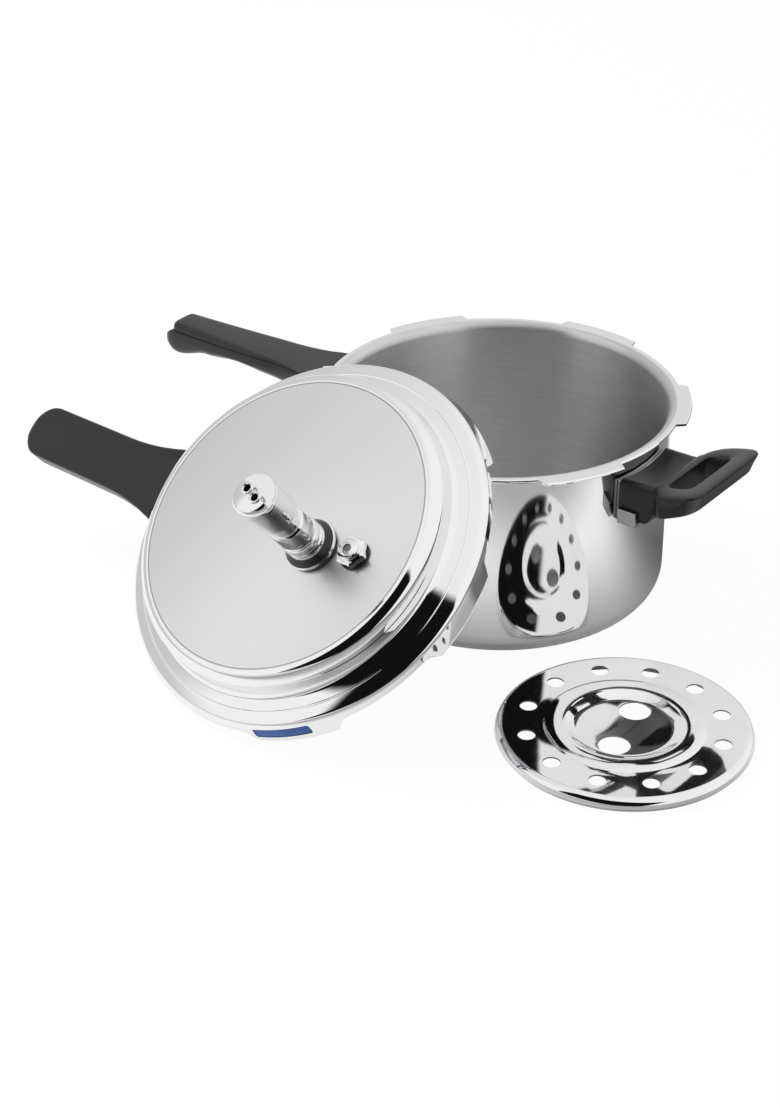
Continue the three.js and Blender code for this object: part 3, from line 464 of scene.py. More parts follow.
# lid, drawn upright and then leaned on the rim
lidStand = {"origin": (-33.166, -154.023, 81.563), "azimuth": -7.2, "tilt": 40.7, "turn": 2.5}
lidPlace = (
    Matrix.Translation(spot(*lidStand["origin"]))
    @ Matrix.Rotation(math.radians(lidStand["azimuth"]), 4, "Z")
    @ Matrix.Rotation(math.radians(lidStand["tilt"]), 4, "X")
    @ Matrix.Rotation(math.radians(lidStand["turn"]), 4, "Z")
)
lidAxis = (lidPlace.to_3x3() @ Vector((0, 0, 1))).normalized()
lid = {
    "wall": 1.5, "top": 40.7, "topRadius": 97.8, "shoulder": 8, "fillet": 5, "slope": 17,
    "edge": 125.5, "edgeHeight": 10.5, "round": 5, "skirt": 127.8, "lugBottom": 6, "lugInner": 119.5,
    "lugs": 6, "lugHalf": 15, "lugSlope": 2.5, "hem": 2, "bead": 0.35, "crease": 0.16,
    "window": {"middle": -63.5, "span": 18, "low": 4, "high": 12, "corner": 1.6, "perDegree": 2.2},
    "polished": 0.86, "matt": 0.82, "mattRough": 0.30, "mattFade": (98.5, 95.5), "mattHeight": (38.5, 39.5),
    # the line's grey and its band: painted shade in the top's crease
    "line": 0.40, "creaseShadeBand": (96.5, 97.7, 0.3),
}


def makeLidSteel():  # polished, with a finely matt top and a dark line of painted shade in its crease
    material, shader, place = startMaterial("lidSteel")
    radius, height = place.around(spot(*lidStand["origin"]), lidAxis)
    raised = height.step(*lid["mattHeight"])
    top = radius.step(*lid["mattFade"]) * raised
    # painted shade: a dark grey ring along the top's crease
    line = radius.band(*lid["creaseShadeBand"]) * raised
    cloud = place.noise(scale=30.0, detail=3.0)
    fine = place.noise(scale=900.0)
    plain = top.paint(grey(lid["polished"]), grey(lid["matt"]))
    joinShader(shader, {"Metallic": 1.0}, {
        "Base Color": line.paint(plain, grey(lid["line"])),
        "Roughness": top * (fine * 0.02 + lid["mattRough"]) + cloud * 0.03 + 0.02,
        "Normal": (top * fine * 0.004 + cloud * 0.2).bump(strength=0.2, distance=0.0006),
    })
    return material


def skirtAt(height):
    return lid["skirt"] - (lid["skirt"] - lid["edge"]) * height / lid["edgeHeight"]


def hemLine(angle):  # lower edge: straight on the tabs, turned in on the lugs
    off = fromMiddle(angle, lid["lugs"])
    lug = clamp((lid["lugHalf"] - off) / lid["lugSlope"])
    tab = clamp((off - lid["lugHalf"]) / lid["lugSlope"])
    lowest = lid["lugBottom"] * (1 - tab)
    wall, hem, inner = lid["wall"], lid["hem"], lid["lugInner"]
    corner = skirtAt(lowest + hem) - hem
    straight = [
        (skirtAt(lowest + level) - inset, lowest + rise) for level, inset, rise in (
            (2, 0, 2), (1.3, 0, 1.3), (0.6, 0, 0.6), (0, 0.15, 0.15), (0, 0.5, 0), (0, 1, 0),
            (0, 1.35, 0.15), (0.6, wall, 0.6), (1.6, wall, 1.6), (2.6, wall, 2.6),
        )
    ]
    turnedIn = [
        *bend(corner, lowest + hem, hem, 0, -90, 3),
        (inner + 0.5, lowest), (inner, lowest + 0.4), (inner, lowest + 1.1),
        (inner + 0.5, lowest + wall), (corner, lowest + wall),
        (skirtAt(lowest + 2.6) - wall, lowest + 2.3),
    ]
    return [(a + (c - a) * lug, b + (d - b) * lug) for (a, b), (c, d) in zip(straight, turnedIn)]


def lidSection(angle):
    wall, slope, top, topRadius = lid["wall"], lid["slope"], lid["top"], lid["topRadius"]
    lean = math.radians(slope)
    edge = (lid["edge"] - lid["round"], lid["edgeHeight"])
    footRadius = topRadius + lid["shoulder"] + lid["fillet"]
    drop = (edge[0] - footRadius) * math.sin(lean)
    foot = (footRadius, edge[1] + (lid["round"] + lid["fillet"] + drop) / math.cos(lean))
    shoulder = (topRadius, top - lid["shoulder"])
    outerEnd = onArc(*edge, lid["round"], 90 - slope)
    innerEnd = onArc(*foot, lid["fillet"], 270 - slope)

    def onLedge(share, lift):  # place between the ledge's ends
        square = (math.sin(lean), math.cos(lean))
        return tuple(a + (b - a) * share + lift * d for a, b, d in zip(outerEnd, innerEnd, square))

    return [
        (0, top - wall),
        *bend(*shoulder, lid["shoulder"] - wall, 90, 0, 10),
        *bend(*foot, lid["fillet"] + wall, 180, 270 - slope, 8),
        *bend(*edge, lid["round"] - wall, 90 - slope, 0, 8),
        *hemLine(angle)[::-1],
        *bend(*edge, lid["round"], 0, 90 - slope, 10),
        onLedge(0.44, 0), onLedge(0.48, lid["bead"]), onLedge(0.52, lid["bead"]), onLedge(0.56, 0),
        *bend(*foot, lid["fillet"], 270 - slope, 180, 10),
        *bend(*shoulder, lid["shoulder"], 0, 86, 14),
        (topRadius - 0.3, top - lid["crease"]), (topRadius - 0.9, top - lid["crease"]),
        (topRadius - 1.4, top),
        (0, top),
    ]


hemShares = (-1, -0.64, -0.32, 0, 0.32, 0.64, 1)
hemOffsets = [lid["lugHalf"] + lid["lugSlope"] * share for share in hemShares]
lidAngles = ringAngles(0.75, lid["lugs"], hemOffsets)
lidShell = makeMesh("lidShell", swept(lidAngles, lidSection))


def windowRing(radius):  # rounded outline on the skirt
    window = lid["window"]
    corner = window["corner"]
    high, low = window["high"] - corner, window["low"] + corner
    ring = []
    for side, level, start in ((1, high, 0), (-1, high, 90), (-1, low, 180), (1, low, 270)):
        for offset, rise in bend(-side * corner, 0, corner, start, start + 90, 6):
            turn = window["middle"] + side * window["span"] / 2 + offset / window["perDegree"]
            ring.append((*onArc(0, 0, radius, turn), level + rise))
    return ring


vent = {
    "x": 30, "y": -6.7, "bore": 2, "stem": 5, "bottom": 30.9, "seat": 42.8, "flange": 17, "waist": 12.7,
    "groove": 11.8, "body": 12.9, "bodyTop": 59.8, "tube": 6, "top": 85.8, "blackRing": (12.8, 16.6, 0.2),
    "blackLevels": (45.2, 50.0, 0.3),
}
plug = {
    "x": 61, "y": -1, "stem": 6, "flats": 18, "boss": 7, "fuse": 2.8, "bottom": 42.8, "hexTop": 47.8,
    "top": 51.3,
}
stemGap = 0.3
windowCutter = makeMesh("windowCutter", lofted([windowRing(lid["skirt"] + off) for off in (-8, 4)]))
stemCutters = [
    holeCutter(piece["x"], piece["y"], piece["stem"] + stemGap, lid["top"] - 5.7, lid["top"] + 4.3)
    for piece in (vent, plug)
]
cut(lidShell, windowCutter, *stemCutters)
finishPiece(lidShell, "lid", makeLidSteel(), ["lid_shell"], lidPlace, sharp=24)

seal = {
    "inner": 113, "outer": 123.7, "bottom": 7.8, "top": 13.7, "round": 3.2, "tongue": 122, "gap": 0.3,
}


def sealProfile():  # two lips that open inwards
    inner, outer, bottom, top = seal["inner"], seal["outer"], seal["bottom"], seal["top"]
    middle = (bottom + top) / 2
    roundAt = (outer - seal["round"], top - seal["round"])
    return [
        (inner + 0.6, bottom), (outer - 0.8, bottom), (outer, bottom + 0.8),
        *bend(*roundAt, seal["round"], 0, 80, 6),
        (inner + 0.6, top), (inner, top - 0.5), (inner + 0.2, top - 1.8), (inner + 3.8, middle + 0.6),
        (inner + 4.6, middle), (inner + 3.8, middle - 0.6), (inner + 0.2, bottom + 1.8),
        (inner, bottom + 0.5),
    ]


def tongueSection(share):  # fills the window, just behind the skirt's face
    window = lid["window"]
    gap, low, high = seal["gap"], window["low"], window["high"]
    turn = window["middle"] + share * (window["span"] / 2 - gap)
    outline = [
        (seal["tongue"], low + gap), (skirtAt(low) - 0.9, low + gap), (skirtAt(low) - 0.4, low + 0.8),
        (skirtAt(high) - 0.4, high - 0.8), (skirtAt(high) - 0.9, high - gap), (seal["tongue"], high - gap),
    ]
    return [(*onArc(0, 0, radius, turn), height) for radius, height in outline]


sealTongue = lofted([tongueSection(i / 8 - 1) for i in range(17)])
gasket = makeMesh("gasketRing", together(turned(sealProfile(), 192, ring=True), sealTongue))
finishPiece(gasket, "lid", blueSilicone, ["gasket"], lidPlace)
print("lid made")

# vent, weight and plug
ventAt = (vent["x"], vent["y"])
ventPlace = lidPlace @ Matrix.Translation(spot(*ventAt))


def makeVentSteel():  # polished, with a black ring on the flange
    material, shader, place = startMaterial("ventSteel")
    radius, height = place.around(ventPlace.translation, lidAxis)
    black = radius.band(*vent["blackRing"]) * height.band(*vent["blackLevels"])
    cloud = place.noise(scale=38.0, detail=3.0)
    joinShader(shader, {}, {
        "Metallic": 1.0 - black,
        "Base Color": black.paint(grey(0.84), grey(0.008)),
        "Roughness": black * 0.2 + cloud * 0.03 + 0.02,
        "Normal": cloud.bump(strength=0.2, distance=0.0003),
    })
    return material


def ventProfile():  # stem, conical flange, grooved body and tube
    bore, stem, seat, flange = vent["bore"], vent["stem"], vent["seat"], vent["flange"]
    waist, groove, body, tube = vent["waist"], vent["groove"], vent["body"], vent["tube"]
    return [
        (bore, vent["bottom"]), (stem - 0.4, vent["bottom"]), (stem, vent["bottom"] + 0.4), (stem, seat),
        (flange - 0.6, seat), (flange, seat + 0.6), (flange, seat + 2), (flange - 0.5, seat + 2.6),
        (waist + 0.5, seat + 6.6), (waist, seat + 7.5), (waist, seat + 9.9), (waist - 0.3, seat + 10.3),
        (groove, seat + 10.6), (groove, seat + 11.4), (body - 0.5, seat + 11.7), (body, seat + 12.1),
        (body, vent["bodyTop"] - 1.2), (body - 0.5, vent["bodyTop"] - 0.3), (groove, vent["bodyTop"]),
        (tube + 0.6, vent["bodyTop"]), (tube, vent["bodyTop"] + 0.4), (tube, vent["top"] - 4),
        (bore + 1.5, vent["top"]), (bore, vent["top"]),
    ]


ventTube = makeMesh("ventTube", turned(ventProfile(), 96, True, ventAt))
finishPiece(ventTube, "lid", makeVentSteel(), ["vent_tube"], lidPlace)

washer = {"inner": 5.3, "outer": 15, "low": 41, "high": 42.5, "soft": 0.4}
ventSeal = makeMesh("ventSeal", turned([
    (washer["inner"], washer["low"]), (washer["outer"] - washer["soft"], washer["low"]),
    (washer["outer"], washer["low"] + washer["soft"]), (washer["outer"], washer["high"] - washer["soft"]),
    (washer["outer"] - washer["soft"], washer["high"]), (washer["inner"], washer["high"]),
], 72, True, ventAt))
finishPiece(ventSeal, "lid", sealRubber, ["vent_washer"], lidPlace)

weight = {
    "radius": 14, "foot": 87, "top": 115.6, "line": 110.3, "skirt": 9.5, "skirtFoot": 74.6, "hollow": 6.6,
    "hollowTop": 91.8, "pin": 2.5, "pinTop": 99.8, "step": 3, "stepFrom": 2, "port": 2.5, "portRim": 0.85,
    "portAway": 4.6, "turn": -22,
}


def weightProfile():
    radius, foot, top, line = weight["radius"], weight["foot"], weight["top"], weight["line"]
    return [
        (0, weight["pinTop"]), (weight["pin"], weight["pinTop"]), (weight["pin"], weight["hollowTop"]),
        (weight["hollow"], weight["hollowTop"]), (weight["hollow"], weight["skirtFoot"]),
        (weight["skirt"], weight["skirtFoot"]), (weight["skirt"], foot), (radius - 0.8, foot),
        (radius - 0.3, foot + 0.2), (radius, foot + 0.8), (radius, line - 0.5), (radius - 0.25, line - 0.2),
        (radius - 0.25, line + 0.2), (radius, line + 0.5), (radius, top - 2.2), (radius - 0.4, top - 1.2),
        (radius - 1.3, top - 0.3), (radius - 2, top), (0, top),
    ]


weightBody = makeMesh("weightBody", turned(weightProfile(), 96))
beyond = weight["radius"] + 6  # past the weight's side
stepPlan = [(-beyond, weight["stepFrom"]), (beyond, weight["stepFrom"]), (beyond, beyond), (-beyond, beyond)]
stepLevels = (weight["top"] - weight["step"], weight["top"] + 3)
stepCutter = makeMesh("stepCutter", lofted([[(x, y, level) for x, y in stepPlan] for level in stepLevels]))
portPlaces = [(side * weight["portAway"], 0) for side in (-1, 1)]
portCutters = [
    holeCutter(*place, weight["port"], weight["foot"] + 2, weight["top"] + 4.4, 32) for place in portPlaces
]
cut(weightBody, stepCutter, *portCutters)
rimProfile = bend(weight["port"] + 0.7, weight["top"] + 0.2, weight["portRim"], 0, 324, 10)
portRims = [turned(rimProfile, 40, True, place) for place in portPlaces]
joinMeshes(weightBody, makeMesh("portRims", together(*portRims)))
weightPlace = ventPlace @ Matrix.Rotation(math.radians(weight["turn"]), 4, "Z")
finishPiece(weightBody, "weight", mirrorSteel, ["weight_body"], weightPlace)

collar = {
    "radius": 11.7, "neck": 10.3, "bore": 6.6, "socket": 9.8, "bottom": 60.6, "step": 75, "shelf": 74.3,
    "top": 86.7, "soft": 0.8, "teeth": 56, "toothLow": 62, "toothHigh": 74, "toothReach": 0.45,
}


def collarProfile():
    radius, neck, bore, socket = collar["radius"], collar["neck"], collar["bore"], collar["socket"]
    bottom, step, top, soft = collar["bottom"], collar["step"], collar["top"], collar["soft"]
    return [
        (bore, bottom), (radius - soft, bottom), (radius, bottom + soft), (radius, step - soft),
        (radius - soft, step), (neck, step + 0.2), (neck, top), (socket, top), (socket, collar["shelf"]),
        (bore, collar["shelf"]),
    ]


def toothRing(level, reach):
    return [(-0.25, -0.5, level), (reach, -0.16, level), (reach, 0.16, level), (-0.25, 0.5, level)]


weightCollar = makeMesh("weightCollar", turned(collarProfile(), 128, ring=True))
tooth = makeMesh("tooth", lofted([
    toothRing(collar["toothLow"], 0.05), toothRing(collar["toothLow"] + 0.6, collar["toothReach"]),
    toothRing(collar["toothHigh"] - 0.6, collar["toothReach"]), toothRing(collar["toothHigh"], 0.05),
]))
knurl = ringOf("knurl", tooth, collar["teeth"], collar["radius"], 0.0, mirrorSteel)
joinMeshes(weightCollar, knurl)
finishPiece(weightCollar, "weight", mirrorSteel, ["weight_collar"], ventPlace)


def hexRing(flats, height):
    reach = flats / 2 / math.cos(math.pi / 6)
    return [(*onArc(plug["x"], plug["y"], reach, 60 * i), height) for i in range(6)]


def bossProfile():
    boss, fuse, hexTop, top = plug["boss"], plug["fuse"], plug["hexTop"], plug["top"]
    return [
        (fuse, hexTop - 0.8), (boss + 0.6, hexTop - 0.8), (boss + 0.6, hexTop + 0.1), (boss, hexTop + 0.4),
        (boss, top - 1), (boss - 0.6, top - 0.2), (boss - 1.6, top), (boss - 2.6, top),
        (boss - 2.8, top - 0.4), (fuse + 0.6, top - 0.4), (fuse, top - 0.2),
    ]


plugHex = lofted([
    hexRing(plug["flats"] - 0.8, plug["bottom"]), hexRing(plug["flats"], plug["bottom"] + 0.4),
    hexRing(plug["flats"], plug["hexTop"] - 0.8), hexRing(plug["flats"] - 1.4, plug["hexTop"]),
])
plugBoss = turned(bossProfile(), 72, True, (plug["x"], plug["y"]))
safetyPlug = makeMesh("safetyPlug", together(plugHex, plugBoss))
finishPiece(safetyPlug, "lid", mirrorSteel, ["safety_plug"], lidPlace)
print("vent, weight and plug made")

# separator plate
plate = {
    "x": 171.546, "y": -109.287, "radius": 79.5, "corner": 5, "rim": 77, "flat": 9.2, "dish": 7, "sheet": 1,
    "holes": 12, "hole": 5.5, "holesAway": 61.5, "holesTurn": 17, "lift": 10, "liftAway": 20,
    "liftTurn": 104, "cutLow": -2, "cutHigh": 14,
}
plateTop = [  # from the flat over the raised ring into the dish
    (plate["radius"] - plate["corner"], plate["flat"]), (56, plate["flat"]), (50.3, plate["flat"]),
    (50, 9.24), (49.4, 9.55), (48.4, 9.85), (47, 10.15), (45.4, 10.45), (44, 10.6), (41, 10.66),
    (38.6, 10.6), (37.6, 10.4), (36.2, 9.7), (33, 8.2), (31.2, 7.5), (30, 7.15), (28.6, 7.02),
    (20, plate["dish"]), (0, plate["dish"]),
]


def plateProfile():
    rim, corner, sheet = plate["rim"], plate["corner"], plate["sheet"]
    cornerAt = (plate["radius"] - corner, plate["flat"] - corner)
    return [
        *[(radius, height - sheet) for radius, height in plateTop[::-1]],
        *bend(*cornerAt, corner - sheet, 88, 0, 8),
        (rim + 1.2, 3.4), (rim + 0.4, 2.6), (rim - 0.4, 2.2), (rim - 1, 0.3), (rim - 0.8, 0), (rim - 0.2, 0),
        (rim, 0.3), (rim + 0.6, 1.6), (rim + 1.4, 2.2), (rim + 2.2, 3),
        *bend(*cornerAt, corner, 0, 88, 12),
        *plateTop,
    ]


plateBody = makeMesh("separatorPlate", turned(plateProfile(), 192))
steamHole = holeCutter(0, 0, plate["hole"], plate["cutLow"], plate["cutHigh"], 40)
steamHoles = ringOf(
    "steamHoles", steamHole, plate["holes"], plate["holesAway"], plate["holesTurn"], mirrorSteel
)
liftHoles = [
    holeCutter(*onArc(0, 0, side * plate["liftAway"], plate["liftTurn"]), plate["lift"],
               plate["cutLow"], plate["cutHigh"], 64)
    for side in (-1, 1)
]
cut(plateBody, steamHoles, *liftHoles)
plateAt = spot(plate["x"], plate["y"])
finishPiece(
    plateBody, "separator", mirrorSteel, ["separator_plate"], Matrix.Translation(plateAt)
)
print("separator plate made")


# bar handles, drawn along +X
def smooth(value):
    value = clamp(value)
    return value * value * (3 - 2 * value)


def along(x, stops):  # eased value between stops
    for (x0, v0), (x1, v1) in zip(stops, stops[1:]):
        if x <= x1:
            return v0 + (v1 - v0) * smooth((x - x0) / (x1 - x0))
    return stops[-1][1]


def mirrored(right):
    return right + [(-y, z) for y, z in right[-2:0:-1]]


def barHalf(x, bar):  # half width of a bar handle
    start, end = bar["bend"]
    neck = bar["neck"]
    if x < end:
        return neck + (bar["wide"] - neck) * (1 - max(0, x - start) / (end - start)) ** 2
    return neck + (bar["tip"] - neck) * (x - end) / (bar["end"] - end)


def onRoot(x, section, root, curved):  # first section follows the round wall
    return [(math.sqrt(root ** 2 - y * y) if curved else x, y, z) for y, z in section]


# long handle of the pot: a rounded lower part with a flat top part
potHandle = {
    "root": 113.6, "top": 117.5, "wide": 28, "neck": 18, "tip": 13, "bend": (137, 190), "end": 279,
    "flatInset": 1.8, "flatRoot": 112, "stepStart": 150, "stepEnd": 276, "step": (0.5, 6),
    "under": [(111, 91.5), (124, 93.2), (141, 98), (176, 103.6), (213, 104.6), (243, 101), (272, 93.8)],
    "stations": [
        118, 122, 127, 132, 137, 140, 143, 146, 149, 152, 156, 160, 164, 168, 172, 177, 183, 190, 198, 206,
        214, 222, 230, 238, 246, 252, 258, 263, 267, 270, 272,
    ],
    "lowerTip": [
        (274.4, 13.1, 111.6, 93.9), (276.6, 12.9, 111.2, 94.4), (278.6, 12.4, 110.2, 95.2),
        (280.4, 11.6, 109.0, 96.3), (282.2, 10.3, 107.6, 97.8), (283.6, 8.7, 106.2, 99.4),
        (284.5, 7.4, 105.0, 100.8), (284.9, 7.1, 104.2, 101.8),
    ],
    "flatTip": [
        (273.6, 11.3, 117.5, 110.4, 3.2), (274.8, 10.7, 117.4, 110.4, 3.2), (275.6, 9.9, 117.0, 110.4, 3.2),
        (276, 9.2, 116.2, 110.4, 3.2),
    ],
}


def potStep(x):  # how far the lower part lies below the flat top
    least, most = potHandle["step"]
    way = clamp((x - potHandle["stepStart"]) / (potHandle["stepEnd"] - potHandle["stepStart"]))
    return least + (most - least) * (1 - (1 - way) ** 1.7)


def potLowerRing(x, half, top, low, curved=False):
    deep = top - low
    right = [
        (0, top), (half * 0.6, top), (half - 2.2, top), (half - 1.7, top - 0.25),
        (half - 1.2, top + 0.05), (half - 0.6, top - 0.1), (half - 0.15, top - 0.6), (half, top - 1.3),
        (half + 0.2, top - deep * 0.35), (half, top - deep * 0.6), (half - 0.9, low + 3.2),
        (half - 2.4, low + 1.3), (half - 4.6, low + 0.3), (half - 7, low), (0, low),
    ]
    return onRoot(x, mirrored(right), potHandle["root"], curved)


def potFlatRing(x, half, top, low, soft, curved=False):
    right = [
        (0, top), (half * 0.5, top - 0.05), (half - soft * 1.2, top - 0.15),
        (half - soft * 0.75, top - soft * 0.12), (half - soft * 0.4, top - soft * 0.28),
        (half - soft * 0.15, top - soft * 0.55), (half, top - soft), (half, low), (0, low),
    ]
    return onRoot(x, mirrored(right), potHandle["root"], curved)


def potHandleShape():
    top, inset = potHandle["top"], potHandle["flatInset"]
    rootLow = potHandle["under"][0][1]
    lower = [potLowerRing(0, potHandle["wide"], top - potHandle["step"][0], rootLow, curved=True)]
    flat = [potFlatRing(0, potHandle["wide"] - inset, top, potHandle["flatRoot"], 1.0, curved=True)]
    for x in potHandle["stations"]:
        half, down = barHalf(x, potHandle), potStep(x)
        lower.append(potLowerRing(x, half, top - down, along(x, potHandle["under"])))
        flat.append(potFlatRing(x, half - inset, top, top - down - 2, min(3.4, 0.6 + down * 0.5)))
    lower += [potLowerRing(*ring) for ring in potHandle["lowerTip"]]
    flat += [potFlatRing(*ring) for ring in potHandle["flatTip"]]
    return together(lofted(lower), lofted(flat))


potGrip = makeMesh("potHandle", potHandleShape())
finishPiece(potGrip, "pot", bakelite, ["pot_handle"], turnedBack, sharp=40)

# lid handle, with a hook under its tip
lidHandle = {
    "root": 130.4, "rootHalf": 26.8, "top": 8, "low": -8, "wide": 27, "neck": 19, "tip": 18.6,
    "bend": (127.8, 180), "end": 250,
    "stations": [
        134, 137, 140, 144, 148, 152, 156, 160, 164, 168, 172, 177, 182, 192, 200, 208, 216, 224, 232, 240,
        247,
    ],
    "tipRings": [
        (250.5, 18.5, 8, -8), (253.2, 18.0, 8, -8), (255.4, 17.2, 8, -8), (257.4, 15.9, 8, -8),
        (259.4, 14.1, 8, -8), (261.2, 12.0, 7.9, -7.9), (262.8, 9.6, 7.7, -7.7), (264.0, 7.2, 7.3, -7.4),
        (264.9, 5.0, 6.6, -6.8), (265.4, 3.6, 5.6, -5.8),
    ],
    "hook": [
        (-6, 247.5, 254.6, 9.5), (-9.5, 248, 254.2, 9.2), (-11.4, 248.8, 253.8, 8.8), (-12, 249.6, 253, 8.2),
    ],
}


def lidHandleRing(x, half, top, low, curved=False):
    right = [
        (0, top), (half * 0.5, top), (half - 3, top - 0.05), (half - 1.5, top - 0.25),
        (half - 0.6, top - 0.7), (half - 0.15, top - 1.3), (half, top - 2.0), (half, (top + low) / 2),
        (half, low + 2), (half - 0.15, low + 1.3), (half - 0.6, low + 0.7), (half - 1.5, low + 0.2),
        (half - 3, low), (0, low),
    ]
    return onRoot(x, mirrored(right), lidHandle["root"], curved)


def hookRing(level, start, end, half):
    return [
        (start, -half, level), (end, -half + 0.8, level), (end, half - 0.8, level), (start, half, level),
    ]


def lidHandleShape():
    top, low = lidHandle["top"], lidHandle["low"]
    rings = [lidHandleRing(0, lidHandle["rootHalf"], top, low, curved=True)]
    rings += [lidHandleRing(x, barHalf(x, lidHandle), top, low) for x in lidHandle["stations"]]
    rings += [lidHandleRing(*ring) for ring in lidHandle["tipRings"]]
    return together(lofted(rings), lofted([hookRing(*ring) for ring in lidHandle["hook"]]))


lidGrip = makeMesh("lidHandle", lidHandleShape())
finishPiece(lidGrip, "lid", bakelite, ["lid_handle"], lidPlace @ turnedBack, sharp=40)

# helper handle: a block on the wall and a loop
helper = {
    "root": 113.6, "joint": 137, "centre": 150.5, "slot": (142, 159, 25, 5), "half": 28,
    "block": [
        (117, 28, 124.0, 97, 1.4), (121, 28, 124.0, 97, 1.7), (125, 28, 124.1, 97.1, 1.8),
        (128.5, 28, 124.1, 97.5, 1.8), (130.5, 28, 124.2, 98.6, 1.7), (132, 28.1, 124.3, 100.2, 1.6),
        (134, 28.3, 124.5, 103.4, 1.4), (136, 29, 124.9, 106.6, 1.2), (138, 30.4, 125.3, 109.0, 0.8),
        (140.8, 32.2, 125.8, 110.6, 0.4),
    ],
    "topLine": (127, 0.27), "lowLine": (107.5, 0.47), "loopSteps": 160,
    "wide": (41.5, 172.5, 19, 12), "narrow": (39, 169, 17, 11),
}
loopSection = [  # share of the way out, draft, level and lift above it
    (0.0, 0.0, "low", 2.2), (0.0, 0.0, "top", -2.2), (0.06, 0.0, "top", -0.7), (0.2, 0.0, "top", 0.0),
    (0.74, 0.0, "top", 0.0), (0.9, 0.0, "top", -0.2), (0.97, 0.0, "top", -0.8), (1.0, 0.0, "top", -2.0),
    (1.0, 0.5, "mid", 0.0), (1.0, 1.0, "low", 1.6), (0.96, 1.0, "low", 0.6), (0.88, 1.0, "low", 0.0),
    (0.3, 1.0, "low", 0.0), (0.06, 1.0, "low", 0.6),
]


def helperRing(x, half, top, low, dish, curved=False):
    right = [
        (0, top - dish), (half * 0.55, top - dish * 0.7), (half - 5, top - dish * 0.15), (half - 2.6, top),
        (half - 1.0, top - 0.6), (half - 0.2, top - 1.8), (half, top - 3.4), (half, low + 3),
        (half - 0.3, low + 1.2), (half - 1.2, low + 0.3), (half - 2.6, low), (0, low),
    ]
    return onRoot(x, mirrored(right), helper["root"], curved)


def curveBetween(first, control, last, count=8):
    ways = [i / count for i in range(count + 1)]
    return [tuple(
        (1 - t) ** 2 * a + 2 * t * (1 - t) * b + t * t * c for a, b, c in zip(first, control, last)
    ) for t in ways]


def loopLine(half, reach, flare, corner):  # plan outline of the loop
    joint = helper["joint"]
    flareEnd = (joint - 0.5 + flare, half)
    right = [
        (joint - 2.5, 0), (joint - 2.5, helper["half"] - 1),
        *curveBetween((joint - 0.5, helper["half"]), (joint + 3.5, half), flareEnd),
        *curveBetween((reach - corner, half), (reach, half), (reach, half - corner)), (reach, 0),
    ]
    return right + [(x, -y) for x, y in right[-2:0:-1]]


def slotLine():
    near, far, half, corner = helper["slot"]
    corners = [
        (far - corner, half - corner), (near + corner, half - corner),
        (near + corner, -half + corner), (far - corner, -half + corner),
    ]
    return [
        point for i, (x, y) in enumerate(corners) for point in bend(x, y, corner, 90 * i, 90 * i + 90, 8)
    ]


def reachAlong(outline, turn):  # distance from the loop's centre to an outline
    dx, dy = math.cos(turn), math.sin(turn)
    furthest = 0
    for (ax, ay), (bx, by) in zip(outline, outline[1:] + outline[:1]):
        ax, bx = ax - helper["centre"], bx - helper["centre"]
        ex, ey = bx - ax, by - ay
        spread = dx * ey - dy * ex
        if abs(spread) > 1e-9:
            away = (ax * ey - ay * ex) / spread
            share = (ax * dy - ay * dx) / spread
            if away > 0 and -1e-9 <= share <= 1 + 1e-9:
                furthest = max(furthest, away)
    return furthest


def levelAt(x, line):
    start, climb = line
    return start + (x - helper["joint"]) * climb


def loopRing(turn, outlines):
    hole, wide, narrow = [reachAlong(outline, turn) for outline in outlines]
    ring = []
    for share, draft, side, lift in loopSection:
        outer = wide + (narrow - wide) * draft
        away = hole + (max(outer, hole + 1.5) - hole) * share
        x, y = helper["centre"] + away * math.cos(turn), away * math.sin(turn)
        levels = {"top": levelAt(x, helper["topLine"]), "low": levelAt(x, helper["lowLine"])}
        levels["mid"] = (levels["top"] + levels["low"]) / 2
        ring.append((x, y, levels[side] + lift))
    return ring


def helperShape():
    block = [helperRing(0, helper["half"], 124, 97, 0.8, curved=True)]
    block += [helperRing(*ring) for ring in helper["block"]]
    outlines = (slotLine(), loopLine(*helper["wide"]), loopLine(*helper["narrow"]))
    turns = [2 * math.pi * i / helper["loopSteps"] for i in range(helper["loopSteps"])]
    return together(lofted(block), looped([loopRing(turn, outlines) for turn in turns]))


helperGrip = makeMesh("helperHandle", helperShape())
finishPiece(helperGrip, "pot", bakelite, ["helper_handle"], sharp=40)
print("handles made")

# pieces that keep their solids
carried = {
    "heat_core": coreAluminium, "helper_bracket": shadedBracketSteel, "helper_screw": satinSteel,
    "pot_handle_bracket": satinSteel, "pot_handle_screw": satinSteel, "vent_nut": satinSteel,
    "weight_pin": satinSteel, "safety_fuse": fusibleAlloy, "safety_washer": sealRubber,
    "safety_nut": satinSteel, "lid_handle_bracket": satinSteel, "lid_handle_screw": satinSteel,
}
for name, material in carried.items():
    cadNodes[name].data.materials.clear()
    cadNodes[name].data.materials.append(material)


# floor, lights and camera
def emptyTree(holder):
    holder.use_nodes = True
    holder.node_tree.nodes.clear()
    return Wire(holder.node_tree)


def endTree(wire, kind):
    end = wire.tree.nodes.new(kind)
    wire.tree.links.new(wire.socket, end.inputs["Surface"])


def rayKinds(tree):  # camera rays, and rays that metal and glass send on
    path = tree.nodes.new("ShaderNodeLightPath")
    glossy = Wire(tree, path.outputs["Is Glossy Ray"])
    passing = Wire(tree, path.outputs["Is Transmission Ray"])
    return Wire(tree, path.outputs["Is Camera Ray"]), glossy.math("MAXIMUM", passing)


